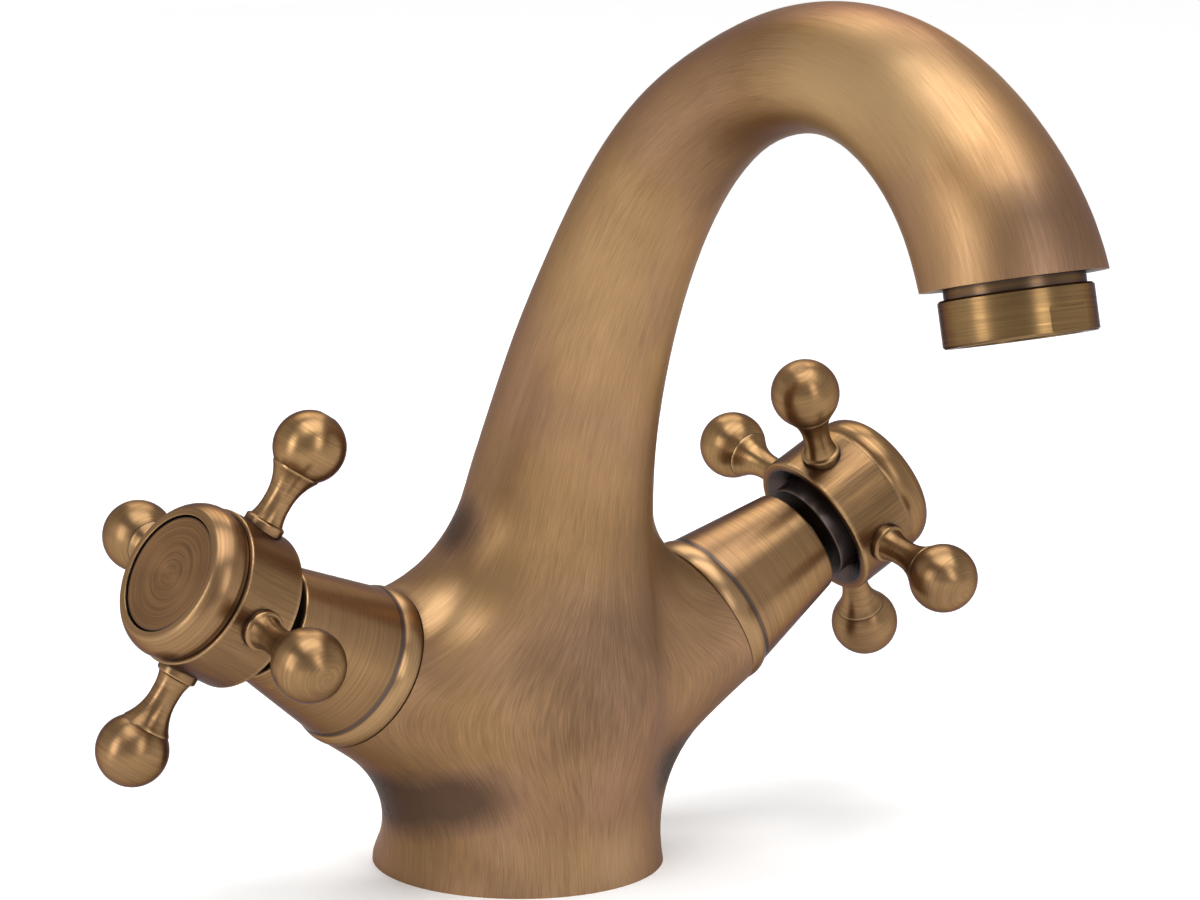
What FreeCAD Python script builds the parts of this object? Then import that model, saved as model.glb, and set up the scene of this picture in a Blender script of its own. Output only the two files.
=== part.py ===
"""Two-handle basin mixer tap with cross handles, built as separate pieces.

Millimetres, +Z up. The origin is the centre of the foot, on the surface that the tap stands on.
The spout reaches towards -Y and the two valves point up and out towards -X and +X.
Pieces on a valve are drawn in the valve's own frame: its Z runs outwards along the spindle
from the point where the two valve axes meet, and its Y points as nearly up as it can.
"""
import FreeCAD, Part
import math
import os
import Sketcher
from FreeCAD import Placement, Rotation, Vector

DIMENSIONS = (
    # foot and shoulders of the body
    ("foot_radius", 26.4),
    ("skirt_radius", 25.4),
    ("skirt_height", 4.0),
    ("skirt_lead", 0.2),
    ("waist_radius", 23.4),
    ("waist_height", 14.0),
    ("waist_lead", 2.6),
    ("chest_radius", 24.0),
    ("chest_height", 30.0),
    ("chest_lead", 4.6),
    ("branch_end_radius", 14.6),
    ("branch_root_radius", 19.8),
    ("branch_root", 8.0),
    ("branch_end", 42.0),
    ("branch_sweep_radius", 200.0),
    ("shoulder_blend", 28.0),
    # spout: three tangent arcs in the plane of symmetry
    ("column_lead", 8.7),
    ("column_height", 48.0),
    ("column_lean", 5.6),
    ("column_arc_radius", 158.0),
    ("column_arc_angle", 29.5),
    ("rise_arc_radius", 66.0),
    ("rise_arc_angle", 43.2),
    ("crown_arc_radius", 47.8),
    ("crown_arc_angle", 77.8),
    ("column_radius", 19.8),
    ("column_upper_radius", 15.8),
    ("rise_radius", 12.8),
    ("rise_upper_radius", 11.4),
    ("slim_radius", 9.7),
    ("crown_radius", 11.1),
    ("flare_radius", 13.0),
    ("lip_radius", 14.6),
    ("lip_tilt", 13.9),
    # water ways
    ("waterway_radius", 6.3),
    ("lip_bore_radius", 11.05),
    ("lip_bore_depth", 6.0),
    ("seat_bore_radius", 4.5),
    ("seat_bore_start", 9.0),
    ("inlet_radius", 4.5),
    ("inlet_offset", 11.0),
    ("inlet_lead", 3.2),
    ("inlet_depth", 12.0),
    ("feed_radius", 3.6),
    ("feed_depth", 26.0),
    ("stud_hole_radius", 3.4),
    ("stud_hole_offset", 14.5),
    ("stud_hole_depth", 12.0),
    ("gallery_radius", 3.2),
    ("gallery_level", 27.0),
    ("gallery_rise", 4.0),
    ("seal_groove_inner", 20.6),
    ("seal_groove_outer", 24.4),
    ("seal_groove_depth", 2.0),
    ("seal_play", 0.05),
    # valve axes and sockets
    ("valve_tilt", 29.0),
    ("valve_lead", 3.7),
    ("valve_height", 21.0),
    ("valve_origin_lead", 2.5),
    ("seat_level", 18.5),
    ("chamber_radius", 9.9),
    ("thread_start", 32.0),
    ("thread_radius", 10.5),
    ("mouth_chamfer", 0.8),
    # ceramic valve inside a socket
    ("thread_play", 0.05),
    ("barrel_radius", 9.3),
    ("barrel_start", 20.4),
    ("barrel_run_out", 0.6),
    ("disc_bore_radius", 8.08),
    ("disc_bore_end", 31.6),
    ("collar_radius", 11.6),
    ("collar_end", 43.4),
    ("hex_flats", 20.0),
    ("hex_end", 48.5),
    ("neck_radius", 7.4),
    ("neck_end", 67.0),
    ("neck_chamfer", 0.4),
    ("stem_bore_radius", 4.56),
    ("window_width", 7.0),
    ("window_start", 28.2),
    ("window_end", 31.4),
    ("disc_radius", 8.0),
    ("disc_seam", 25.2),
    ("fixed_disc_start", 22.0),
    ("moving_disc_end", 28.2),
    ("port_radius", 6.33),
    ("port_start", 2.4),
    ("port_end", 5.2),
    ("port_inner_width", 2.6),
    ("port_outer_width", 7.2),
    ("tongue_width", 2.9),
    ("tongue_depth", 1.1),
    ("tongue_play", 0.06),
    ("face_play", 0.02),
    ("seal_inner_radius", 4.8),
    ("seal_outer_radius", 7.6),
    ("stem_radius", 4.5),
    ("stem_foot_reach", 7.4),
    ("stem_foot_width", 4.6),
    ("stem_foot_end", 31.0),
    ("stem_end", 68.4),
    ("stem_groove_level", 54.0),
    ("stem_ring_section", 0.7),
    ("clip_radius", 6.2),
    ("clip_groove_radius", 3.7),
    ("clip_start", 67.05),
    ("clip_thickness", 0.8),
    ("clip_opening", 4.0),
    ("clip_opening_start", 0.5),
    ("clip_play", 0.05),
    ("spline_radius", 4.0),
    ("spline_root_radius", 3.55),
    ("spline_end", 77.6),
    ("spline_play", 0.05),
    ("spline_end_gap", 0.1),
    ("screw_hole_radius", 2.1),
    ("screw_hole_depth", 9.0),
    ("body_ring_section", 0.6),
    ("body_ring_level", 40.3),
    ("body_ring_play", 0.02),
    # tapered sleeve with its rounded collar
    ("collar_ring_end", 46.2),
    ("collar_ring_edge", 0.3),
    ("collar_ring_rise", 0.12),
    ("collar_ring_bulge", 4.6),
    ("sleeve_seam", 0.25),
    ("sleeve_base_radius", 13.8),
    ("sleeve_tip_radius", 10.3),
    ("sleeve_tip", 66.2),
    ("sleeve_edge", 0.5),
    ("sleeve_cavity_radius", 12.2),
    ("sleeve_cavity_end", 50.0),
    ("sleeve_tip_wall", 1.0),
    ("sleeve_draft", 0.1),
    ("sleeve_web_start", 61.0),
    ("sleeve_web_play", 0.06),
    # handle
    ("hub_radius", 14.1),
    ("hub_back", 70.8),
    ("hub_front", 82.6),
    ("hub_edge", 0.7),
    ("dish_radius", 12.6),
    ("dish_floor_radius", 8.4),
    ("dish_floor", 73.2),
    ("boss_radius", 7.0),
    ("boss_start", 68.8),
    ("boss_chamfer", 0.3),
    ("screw_way_play", 0.5),
    ("cup_radius", 11.5),
    ("cup_floor", 78.6),
    ("spoke_level", 76.4),
    ("spoke_hole_radius", 2.0),
    ("spoke_hole_start", 9.6),
    ("spoke_play", 0.03),
    ("spoke_tenon_play", 0.2),
    ("left_spoke_turn", 12.2),
    ("right_spoke_turn", -17.9),
    ("spoke_foot_radius", 3.6),
    ("spoke_foot_height", 1.1),
    ("spoke_foot_edge", 0.5),
    ("spoke_foot_sink", 0.7),
    ("spoke_lower_sweep", 9.0),
    ("spoke_upper_sweep", 9.5),
    ("spoke_shoulder", 0.4),
    ("spoke_neck_step", 0.3),
    ("spoke_lip_chamfer", 0.25),
    ("spoke_saddle_play", 0.02),
    ("spoke_waist_radius", 2.5),
    ("spoke_waist", 18.8),
    ("spoke_lip_radius", 4.35),
    ("spoke_lip", 24.9),
    ("spoke_lip_edge", 0.45),
    ("ball_radius", 6.3),
    ("ball_reach", 29.7),
    ("screw_head_radius", 4.25),
    ("screw_head_height", 3.3),
    ("screw_head_chamfer", 0.4),
    ("screw_shank_radius", 2.05),
    ("screw_end", 69.6),
    ("screw_socket_flats", 4.0),
    ("screw_socket_depth", 2.0),
    # index cap and its disc
    ("cap_plug_radius", 11.42),
    ("cap_plug_start", 79.4),
    ("cap_seam", 0.2),
    ("cap_skirt", 0.6),
    ("cap_skirt_bulge", 2.4),
    ("cap_shoulder_bulge", 4.6),
    ("cap_base_radius", 13.3),
    ("cap_bulge_radius", 13.75),
    ("cap_bulge_level", 84.6),
    ("cap_rim_radius", 11.6),
    ("cap_face", 88.7),
    ("cap_hollow_radius", 8.8),
    ("disc_seat_level", 86.2),
    ("cap_disc_bore", 10.45),
    ("cap_disc_radius", 10.1),
    ("cap_disc_sink", 0.35),
    ("cap_disc_edge", 0.2),
    ("cap_disc_dish", 0.15),
    ("cap_disc_tenon_radius", 8.77),
    ("cap_disc_tenon_depth", 1.6),
    # aerator, measured outwards from the lip of the spout
    ("aerator_thread_radius", 11.0),
    ("aerator_thread_depth", 5.0),
    ("aerator_neck_end", 1.6),
    ("aerator_radius", 12.05),
    ("aerator_end", 9.0),
    ("aerator_edge", 0.35),
    ("aerator_bore_radius", 10.1),
    ("aerator_lip_radius", 9.5),
    ("aerator_lip_height", 0.8),
    ("wrench_flat_offset", 11.45),
    ("wrench_flat_width", 7.4),
    ("wrench_flat_start", 4.9),
    ("insert_radius", 10.0),
    ("insert_start", -3.4),
    ("insert_wall", 1.2),
    ("insert_play", 0.05),
    ("grille_thickness", 1.4),
    ("grille_pitch", 2.4),
    ("grille_hole", 1.7),
    ("washer_radius", 10.9),
    ("washer_bore_radius", 7.4),
)
OVERCUT = 1.0  # how far a cutting shape reaches past the face that it opens
OVERLAP = 0.3  # how far one shape sinks into the next that it joins
SPOUT_STEPS = 12
GRILLE_ROWS = 7
SPLINE_TEETH = 20
SPOKES_PER_HANDLE = 4


class Size:
    """A length or an angle, held with the expression that drives it."""

    def __init__(self, value, text):
        self.value = float(value)
        self.text = text

    @staticmethod
    def of(number):
        """Wrap a plain number, and pass a Size through."""
        return number if isinstance(number, Size) else Size(number, repr(float(number)))

    def _with(self, other, sign, value):
        return Size(value, f"({self.text} {sign} {Size.of(other).text})")

    def __add__(self, other):
        return self._with(other, "+", self.value + Size.of(other).value)

    def __sub__(self, other):
        return self._with(other, "-", self.value - Size.of(other).value)

    def __mul__(self, other):
        return self._with(other, "*", self.value * Size.of(other).value)

    def __truediv__(self, other):
        return self._with(other, "/", self.value / Size.of(other).value)

    def __radd__(self, other):
        return Size.of(other) + self

    def __rsub__(self, other):
        return Size.of(other) - self

    def __rmul__(self, other):
        return Size.of(other) * self

    def __neg__(self):
        return Size.of(0.0) - self


class Dimensions:
    """The driving dimensions: a spreadsheet cell for each, read back as a Size."""

    def __init__(self, document, rows):
        self.sheet = document.addObject("Spreadsheet::Sheet", "Dims")
        for row, (alias, value) in enumerate(rows, start=1):
            self.sheet.set(f"A{row}", alias)
            self.sheet.set(f"B{row}", str(value))
            self.sheet.setAlias(f"B{row}", alias)
        document.recompute()

    def __getattr__(self, alias):
        return Size(self.sheet.get(alias), f"Dims.{alias}")


doc = FreeCAD.newDocument("CrossHandleTap")
dims = Dimensions(doc, DIMENSIONS)


# ---------------------------------------------------------------- drawing helpers

def origin_plane(body, role):
    """Return one of the body's own origin planes."""
    return next(item for item in body.Origin.OriginFeatures if item.Role == role)


def sketch_on(body, name, role="XZ_Plane", offset=None):
    """Add a sketch to an origin plane of its body, moved by an optional placement."""
    sketch = body.newObject("Sketcher::SketchObject", name)
    sketch.AttachmentSupport = [(origin_plane(body, role), "")]
    sketch.MapMode = "FlatFace"
    if offset is not None:
        sketch.AttachmentOffset = offset
    return sketch


def constrain(sketch, kind, *arguments):
    """Add a constraint whose last argument is a Size, bound to its expression."""
    size = Size.of(arguments[-1])
    index = sketch.addConstraint(Sketcher.Constraint(kind, *arguments[:-1], size.value))
    if "Dims." in size.text:
        sketch.setExpression(f"Constraints[{index}]", size.text)


def pin_point(sketch, geometry, position, corner):
    """Fix a point of the sketch at the given x and y from the sketch's origin."""
    for axis, kind, value in ((-2, "DistanceX", corner[0]), (-1, "DistanceY", corner[1])):
        if Size.of(value).value == 0.0:
            sketch.addConstraint(Sketcher.Constraint("PointOnObject", geometry, position, axis))
        else:
            constrain(sketch, kind, -1, 1, geometry, position, value)


def arc_between(start, end, radius):
    """Return the short arc from start to end, left-handed when the radius is negative."""
    chord = end - start
    reach = math.sqrt(radius * radius - chord.Length * chord.Length / 4)
    side = Vector(-chord.y, chord.x, 0) / chord.Length
    centre = (start + end) / 2 + side * math.copysign(reach, radius)
    first, last = (start, end) if radius > 0 else (end, start)
    angles = [math.atan2(point.y - centre.y, point.x - centre.x) for point in (first, last)]
    return Part.ArcOfCircle(Part.Circle(centre, Vector(0, 0, 1), abs(radius)), *angles)


def outline(sketch, corners):
    """Draw a closed outline through its corners.

    A corner is (x, y), or (x, y, radius) where an arc runs on from it to the next corner:
    anticlockwise for a positive radius, clockwise for a negative one.
    """
    places = [Vector(Size.of(corner[0]).value, Size.of(corner[1]).value, 0) for corner in corners]
    ends = []
    for number, corner in enumerate(corners):
        start, end = places[number], places[(number + 1) % len(places)]
        if len(corner) == 2:
            edge = sketch.addGeometry(Part.LineSegment(start, end), False)
            ends.append((edge, 1, 2))
            continue
        radius = Size.of(corner[2])
        edge = sketch.addGeometry(arc_between(start, end, radius.value), False)
        ends.append((edge, 1, 2) if radius.value > 0 else (edge, 2, 1))
        constrain(sketch, "Radius", edge, radius if radius.value > 0 else -radius)
    for number, (edge, first, _) in enumerate(ends):
        before, _, last = ends[number - 1]
        sketch.addConstraint(Sketcher.Constraint("Coincident", before, last, edge, first))
        pin_point(sketch, edge, first, corners[number])
    return sketch


def ring_sketch(sketch, radius, centre=(0, 0)):
    """Draw one circle, pinned at its centre."""
    middle = Vector(Size.of(centre[0]).value, Size.of(centre[1]).value, 0)
    edge = sketch.addGeometry(Part.Circle(middle, Vector(0, 0, 1), Size.of(radius).value), False)
    pin_point(sketch, edge, 3, centre)
    constrain(sketch, "Radius", edge, radius)
    return sketch


def revolve(body, sketch, kind="Revolution", axis="V_Axis"):
    """Turn a sketch all the way round one of its own axes, as added or removed material."""
    feature = body.newObject(f"PartDesign::{kind}", f"{sketch.Name}_{kind}")
    feature.Profile = sketch
    feature.ReferenceAxis = (sketch, [axis])
    feature.Angle = 360.0
    return feature


def turned(body, name, corners, kind="Revolution"):
    """Turn an outline given as (radius, level) corners round the body's Z axis."""
    return revolve(body, outline(sketch_on(body, name), corners), kind)


def drill(body, name, radius, length, placement):
    """Drill a round hole that starts at the placement and runs along its Z."""
    hole = body.newObject("PartDesign::SubtractiveCylinder", name)
    hole.Radius = radius.value
    hole.setExpression("Radius", radius.text)
    hole.Height = Size.of(length).value
    hole.Placement = placement
    return hole


# ---------------------------------------------------------------- places in the tap

def spout_station(distance):
    """Return the place and the lean of the spout's centre line, this far along it."""
    lean = math.radians(dims.column_lean.value)
    y, z = -dims.column_lead.value, dims.column_height.value
    for radius, angle in SPOUT_ARCS:
        turn = min(distance / radius.value, math.radians(angle.value))
        centre_y = y - radius.value * math.cos(lean)
        centre_z = z - radius.value * math.sin(lean)
        lean += turn
        y = centre_y + radius.value * math.cos(lean)
        z = centre_z + radius.value * math.sin(lean)
        distance -= turn * radius.value
    return y, z, math.degrees(lean)


def leaning(y, z, lean):
    """Return a placement in the plane of symmetry whose Z leans forward from upright."""
    return Placement(Vector(0, y, z), Rotation(Vector(1, 0, 0), lean))


def valve_frame(side):
    """Return the frame of a valve: side is -1 on the left and +1 on the right."""
    tilt, lead = math.radians(dims.valve_tilt.value), math.radians(dims.valve_lead.value)
    outwards = Vector(
        side * math.cos(tilt) * math.cos(lead),
        -math.sin(lead),
        math.sin(tilt) * math.cos(lead),
    )
    across = Vector(0, 0, 1).cross(outwards)
    origin = Vector(0, -dims.valve_origin_lead.value, dims.valve_height.value)
    return Placement(origin, Rotation(across, outwards.cross(across), outwards, "ZXY"))


SIDES = {"left": -1, "right": 1}
SPOUT_ARCS = (
    (dims.column_arc_radius, dims.column_arc_angle),
    (dims.rise_arc_radius, dims.rise_arc_angle),
    (dims.crown_arc_radius, dims.crown_arc_angle),
)
SPOUT_LENGTH = sum(radius.value * math.radians(angle.value) for radius, angle in SPOUT_ARCS)
lip_y, lip_z, _ = spout_station(SPOUT_LENGTH)
LIP_FRAME = leaning(lip_y, lip_z, 180.0 - dims.lip_tilt.value)


# ---------------------------------------------------------------- body and spout

SPOUT_SHARES = (
    (0.0, dims.column_radius),
    (0.136, dims.column_upper_radius),
    (0.303, dims.rise_radius),
    (0.434, dims.rise_upper_radius),
    (0.61, dims.slim_radius),
    (0.745, dims.crown_radius),
    (0.879, dims.flare_radius),
    (1.0, dims.lip_radius),
)


def spout_radius(share):
    """Return the spout's radius at this share of its length, between the ones given."""
    for (start, near), (end, far) in zip(SPOUT_SHARES, SPOUT_SHARES[1:]):
        if share <= end:
            return near + (far - near) * round((share - start) / (end - start), 4)
    return dims.lip_radius


def swan_neck(body):
    """Loft the foot, the chest and the spout as one row of circles."""
    upright = (
        (0.0, 0.0, dims.foot_radius),
        (dims.skirt_lead.value, dims.skirt_height.value, dims.skirt_radius),
        (dims.waist_lead.value, dims.waist_height.value, dims.waist_radius),
        (dims.chest_lead.value, dims.chest_height.value, dims.chest_radius),
    )
    sections = [(leaning(-lead, height, 0.0), radius) for lead, height, radius in upright]
    for step in range(SPOUT_STEPS):
        share = step / SPOUT_STEPS
        sections.append((leaning(*spout_station(share * SPOUT_LENGTH)), spout_radius(share)))
    sections.append((LIP_FRAME, dims.lip_radius))
    sketches = [
        ring_sketch(sketch_on(body, f"neck_section_{number}", "XY_Plane", placement), radius)
        for number, (placement, radius) in enumerate(sections)
    ]
    loft = body.newObject("PartDesign::AdditiveLoft", "swan_neck")
    loft.Profile = sketches[0]
    loft.Sections = sketches[1:]
    return loft


def in_valve_plane(side):
    """Return the placement of a sketch whose y runs out along the valve's axis."""
    return valve_frame(side) * Placement(Vector(0, 0, 0), Rotation(Vector(1, 0, 0), 90))


def shoulder(body, side_name, side):
    """Turn the branch that carries one valve, flared where it grows out of the chest."""
    sketch = sketch_on(body, f"{side_name}_branch", "XY_Plane", in_valve_plane(side))
    outline(sketch, (
        (0.0, dims.branch_root),
        (dims.branch_root_radius, dims.branch_root, -dims.branch_sweep_radius),
        (dims.branch_end_radius, dims.branch_end),
        (0.0, dims.branch_end),
    ))
    return revolve(body, sketch)


def blend_edges(shape):
    """Name the edges along which the branches grow out of the swan neck."""
    wanted = {"BSplineSurface", "Toroid"}
    return [
        f"Edge{number}"
        for number, edge in enumerate(shape.Edges, start=1)
        if {type(face.Surface).__name__ for face in shape.ancestorsOfType(edge, Part.Face)} == wanted
    ]


def blend_shoulders(body):
    """Round the branches into the chest and the column."""
    doc.recompute()
    base = body.Tip
    fillet = body.newObject("PartDesign::Fillet", "shoulder_blends")
    fillet.Base = (base, blend_edges(base.Shape))
    fillet.setExpression("Radius", dims.shoulder_blend.text)


def valve_socket(body, side_name, side):
    """Bore the stepped socket that a valve screws into, down to its seat."""
    sketch = sketch_on(body, f"{side_name}_socket", "XY_Plane", in_valve_plane(side))
    outline(sketch, (
        (0.0, dims.seat_bore_start),
        (dims.seat_bore_radius, dims.seat_bore_start),
        (dims.seat_bore_radius, dims.seat_level),
        (dims.chamber_radius, dims.seat_level),
        (dims.chamber_radius, dims.thread_start),
        (dims.thread_radius, dims.thread_start),
        (dims.thread_radius, dims.branch_end - dims.mouth_chamfer),
        (dims.thread_radius + dims.mouth_chamfer, dims.branch_end),
        (dims.thread_radius + dims.mouth_chamfer, dims.branch_end + OVERCUT),
        (0.0, dims.branch_end + OVERCUT),
    ))
    revolve(body, sketch, "Groove")


def water_ways(body, side_name, side):
    """Drill a valve's inlet up from the underside, and its gallery on to the spout."""
    inlet = Placement(Vector(side * dims.inlet_offset.value, -dims.inlet_lead.value, -OVERCUT), Rotation())
    drill(body, f"{side_name}_inlet", dims.inlet_radius, dims.inlet_depth + OVERCUT, inlet)
    drill(body, f"{side_name}_feed", dims.feed_radius, dims.feed_depth + OVERCUT, inlet)
    start = valve_frame(side).multVec(Vector(0, dims.gallery_rise.value, dims.gallery_level.value))
    end = Vector(0, -dims.column_lead.value, dims.column_height.value)
    gallery = Placement(start, Rotation(Vector(0, 0, 1), end - start))
    drill(body, f"{side_name}_gallery", dims.gallery_radius, (end - start).Length, gallery)


def spout_bore(body):
    """Bore the spout along its centre line, and its mouth for the aerator's thread."""
    spine = body.newObject("Sketcher::SketchObject", "spout_path")
    spine.AttachmentSupport = [(origin_plane(body, "YZ_Plane"), "")]
    spine.MapMode = "FlatFace"
    travelled = 0.0
    ends = []
    for radius, angle in SPOUT_ARCS:
        start = spout_station(travelled)
        travelled += radius.value * math.radians(angle.value)
        end = spout_station(min(travelled, SPOUT_LENGTH - dims.lip_bore_depth.value / 2))
        points = [Vector(place[0], place[1], 0) for place in (start, end)]
        edge = spine.addGeometry(arc_between(*points, radius.value), False)
        constrain(spine, "Radius", edge, radius)
        pin_point(spine, edge, 2, (points[1].x, points[1].y))
        if ends:
            spine.addConstraint(Sketcher.Constraint("Coincident", ends[-1], 2, edge, 1))
        else:
            pin_point(spine, edge, 1, (-dims.column_lead, dims.column_height))
        ends.append(edge)
    foot = leaning(*spout_station(0.0))
    profile = ring_sketch(sketch_on(body, "spout_bore_section", "XY_Plane", foot), dims.waterway_radius)
    bore = body.newObject("PartDesign::SubtractivePipe", "spout_bore")
    bore.Profile = profile
    bore.Spine = spine
    mouth = LIP_FRAME * Placement(Vector(0, 0, -dims.lip_bore_depth.value), Rotation())
    drill(body, "lip_bore", dims.lip_bore_radius, dims.lip_bore_depth + OVERCUT, mouth)


def underside(body):
    """Cut the seal's groove and the stud hole into the underside of the foot."""
    turned(body, "seal_groove", (
        (dims.seal_groove_inner, 0.0),
        (dims.seal_groove_outer, 0.0),
        (dims.seal_groove_outer, dims.seal_groove_depth),
        (dims.seal_groove_inner, dims.seal_groove_depth),
    ), "Groove")
    stud = Placement(Vector(0, dims.stud_hole_offset.value, -OVERCUT), Rotation())
    drill(body, "stud_hole", dims.stud_hole_radius, dims.stud_hole_depth + OVERCUT, stud)


def tap_body():
    """Build the cast body with its spout, sockets and water ways."""
    body = doc.addObject("PartDesign::Body", "tap_body")
    swan_neck(body)
    for side_name, side in SIDES.items():
        shoulder(body, side_name, side)
    blend_shoulders(body)
    for side_name, side in SIDES.items():
        valve_socket(body, side_name, side)
        water_ways(body, side_name, side)
    spout_bore(body)
    underside(body)
    return body


def base_seal():
    """Turn the rubber ring that seals the foot on the surface below."""
    body = doc.addObject("PartDesign::Body", "base_seal")
    play = dims.seal_play
    turned(body, "seal_section", (
        (dims.seal_groove_inner + play, 0.0),
        (dims.seal_groove_outer - play, 0.0),
        (dims.seal_groove_outer - play, dims.seal_groove_depth - play),
        (dims.seal_groove_inner + play, dims.seal_groove_depth - play),
    ))
    return body


# ---------------------------------------------------------------- ceramic valve

def at_level(level):
    """Return a placement this far out along a valve's axis."""
    return Placement(Vector(0, 0, Size.of(level).value), Rotation())


def pad(body, sketch, length):
    """Raise a sketch by a length along its normal."""
    feature = body.newObject("PartDesign::Pad", f"{sketch.Name}_pad")
    feature.Profile = sketch
    feature.Length = Size.of(length).value
    if "Dims." in Size.of(length).text:
        feature.setExpression("Length", length.text)
    return feature


def pocket(body, sketch, length, reverse=False):
    """Sink a sketch by a length against its normal, or along it when reversed."""
    feature = body.newObject("PartDesign::Pocket", f"{sketch.Name}_pocket")
    feature.Profile = sketch
    feature.Reversed = reverse
    feature.Length = Size.of(length).value
    if "Dims." in Size.of(length).text:
        feature.setExpression("Length", length.text)
    return feature


def rectangle(sketch, left, bottom, right, top):
    """Draw an upright rectangle from its sides."""
    return outline(sketch, ((left, bottom), (right, bottom), (right, top), (left, top)))


def hexagon(sketch, flats):
    """Draw a hexagon by the distance across its flats."""
    reach = flats / math.sqrt(3)
    corners = [
        (reach * round(math.cos(turn), 6), reach * round(math.sin(turn), 6))
        for turn in (math.radians(60 * number) for number in range(6))
    ]
    return outline(sketch, corners)


def cartridge(side_name):
    """Turn and mill the brass shell of a ceramic valve, with its hexagon and water windows."""
    body = doc.addObject("PartDesign::Body", f"{side_name}_valve_cartridge")
    thread = dims.thread_radius - dims.thread_play
    groove_floor = dims.thread_radius - 2 * (dims.body_ring_section + dims.body_ring_play)
    groove_half = dims.body_ring_section + 2 * dims.body_ring_play
    turned(body, "shell", (
        (dims.disc_bore_radius, dims.barrel_start),
        (dims.barrel_radius, dims.barrel_start),
        (dims.barrel_radius, dims.thread_start + dims.barrel_run_out),
        (thread, dims.thread_start + dims.barrel_run_out * 2),
        (thread, dims.body_ring_level - groove_half),
        (groove_floor, dims.body_ring_level - groove_half),
        (groove_floor, dims.body_ring_level + groove_half),
        (thread, dims.body_ring_level + groove_half),
        (thread, dims.branch_end),
        (dims.collar_radius, dims.branch_end),
        (dims.collar_radius, dims.collar_end),
        (dims.neck_radius, dims.collar_end),
        (dims.neck_radius, dims.neck_end - dims.neck_chamfer),
        (dims.neck_radius - dims.neck_chamfer, dims.neck_end),
        (dims.stem_bore_radius, dims.neck_end),
        (dims.stem_bore_radius, dims.disc_bore_end),
        (dims.disc_bore_radius, dims.disc_bore_end),
    ))
    head = hexagon(sketch_on(body, "head", "XY_Plane", at_level(dims.collar_end)), dims.hex_flats)
    hollow = dims.stem_bore_radius
    edge = head.addGeometry(Part.Circle(Vector(0, 0, 0), Vector(0, 0, 1), hollow.value), False)
    pin_point(head, edge, 3, (0, 0))
    constrain(head, "Radius", edge, hollow)
    pad(body, head, dims.hex_end - dims.collar_end)
    window = sketch_on(body, "window", "XZ_Plane")
    rectangle(window, -dims.window_width / 2, dims.window_start, dims.window_width / 2, dims.window_end)
    cut = pocket(body, window, dims.barrel_radius * 4)
    cut.Midplane = True
    return body


def disc_sketch(body, name, radius, level):
    """Draw a disc of this radius at a level of the valve."""
    return ring_sketch(sketch_on(body, name, "XY_Plane", at_level(level)), radius)


def ports(body, level, depth, turn):
    """Cut the two kidney-shaped ports of a ceramic disc, turned by an angle."""
    offset = at_level(level) * Placement(Vector(0, 0, 0), Rotation(Vector(0, 0, 1), turn))
    for name, side in (("near", -1), ("far", 1)):
        sketch = sketch_on(body, f"{name}_port", "XY_Plane", offset)
        near, far = dims.port_inner_width / 2, dims.port_outer_width / 2
        outline(sketch, (
            (side * dims.port_start, -near),
            (side * dims.port_end, -far, side * dims.port_radius),
            (side * dims.port_end, far),
            (side * dims.port_start, near),
        ))
        pocket(body, sketch, depth, reverse=True)


def ceramic_disc(side_name, kind, start, end):
    """Make one of the two polished discs whose ports meet when the valve is open."""
    body = doc.addObject("PartDesign::Body", f"{side_name}_{kind}_disc")
    pad(body, disc_sketch(body, "disc", dims.disc_radius, start), end - start)
    ports(body, start, end - start, 0.0 if kind == "fixed" else 90.0)
    if kind == "moving":
        slot = sketch_on(body, "drive_slot", "XY_Plane", at_level(end))
        half = dims.tongue_width / 2 + dims.tongue_play
        rectangle(slot, -dims.disc_radius - OVERCUT, -half, dims.disc_radius + OVERCUT, half)
        pocket(body, slot, dims.tongue_depth + dims.tongue_play)
    return body


def seat_seal(side_name):
    """Turn the soft ring that presses the fixed disc against the seat."""
    body = doc.addObject("PartDesign::Body", f"{side_name}_seat_seal")
    turned(body, "seal", (
        (dims.seal_inner_radius, dims.seat_level),
        (dims.seal_outer_radius, dims.seat_level),
        (dims.seal_outer_radius, dims.fixed_disc_start),
        (dims.seal_inner_radius, dims.fixed_disc_start),
    ))
    return body


def o_ring(name, radius, section, level):
    """Make a round-section rubber ring that lies in a groove."""
    ring = doc.addObject("Part::Torus", name)
    for name, size in (("Radius1", radius), ("Radius2", section)):
        setattr(ring, name, size.value)
        ring.setExpression(name, size.text)
    return ring, at_level(level)


def spline_corners(play):
    """Return the corners of the toothed outline of the stem, widened by a play."""
    corners = []
    for tooth in range(SPLINE_TEETH):
        for share, radius in ((0.0, dims.spline_root_radius), (0.5, dims.spline_radius)):
            turn = 2 * math.pi * (tooth + share) / SPLINE_TEETH
            reach = radius + play
            corners.append((reach * round(math.cos(turn), 6), reach * round(math.sin(turn), 6)))
    return corners


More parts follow.
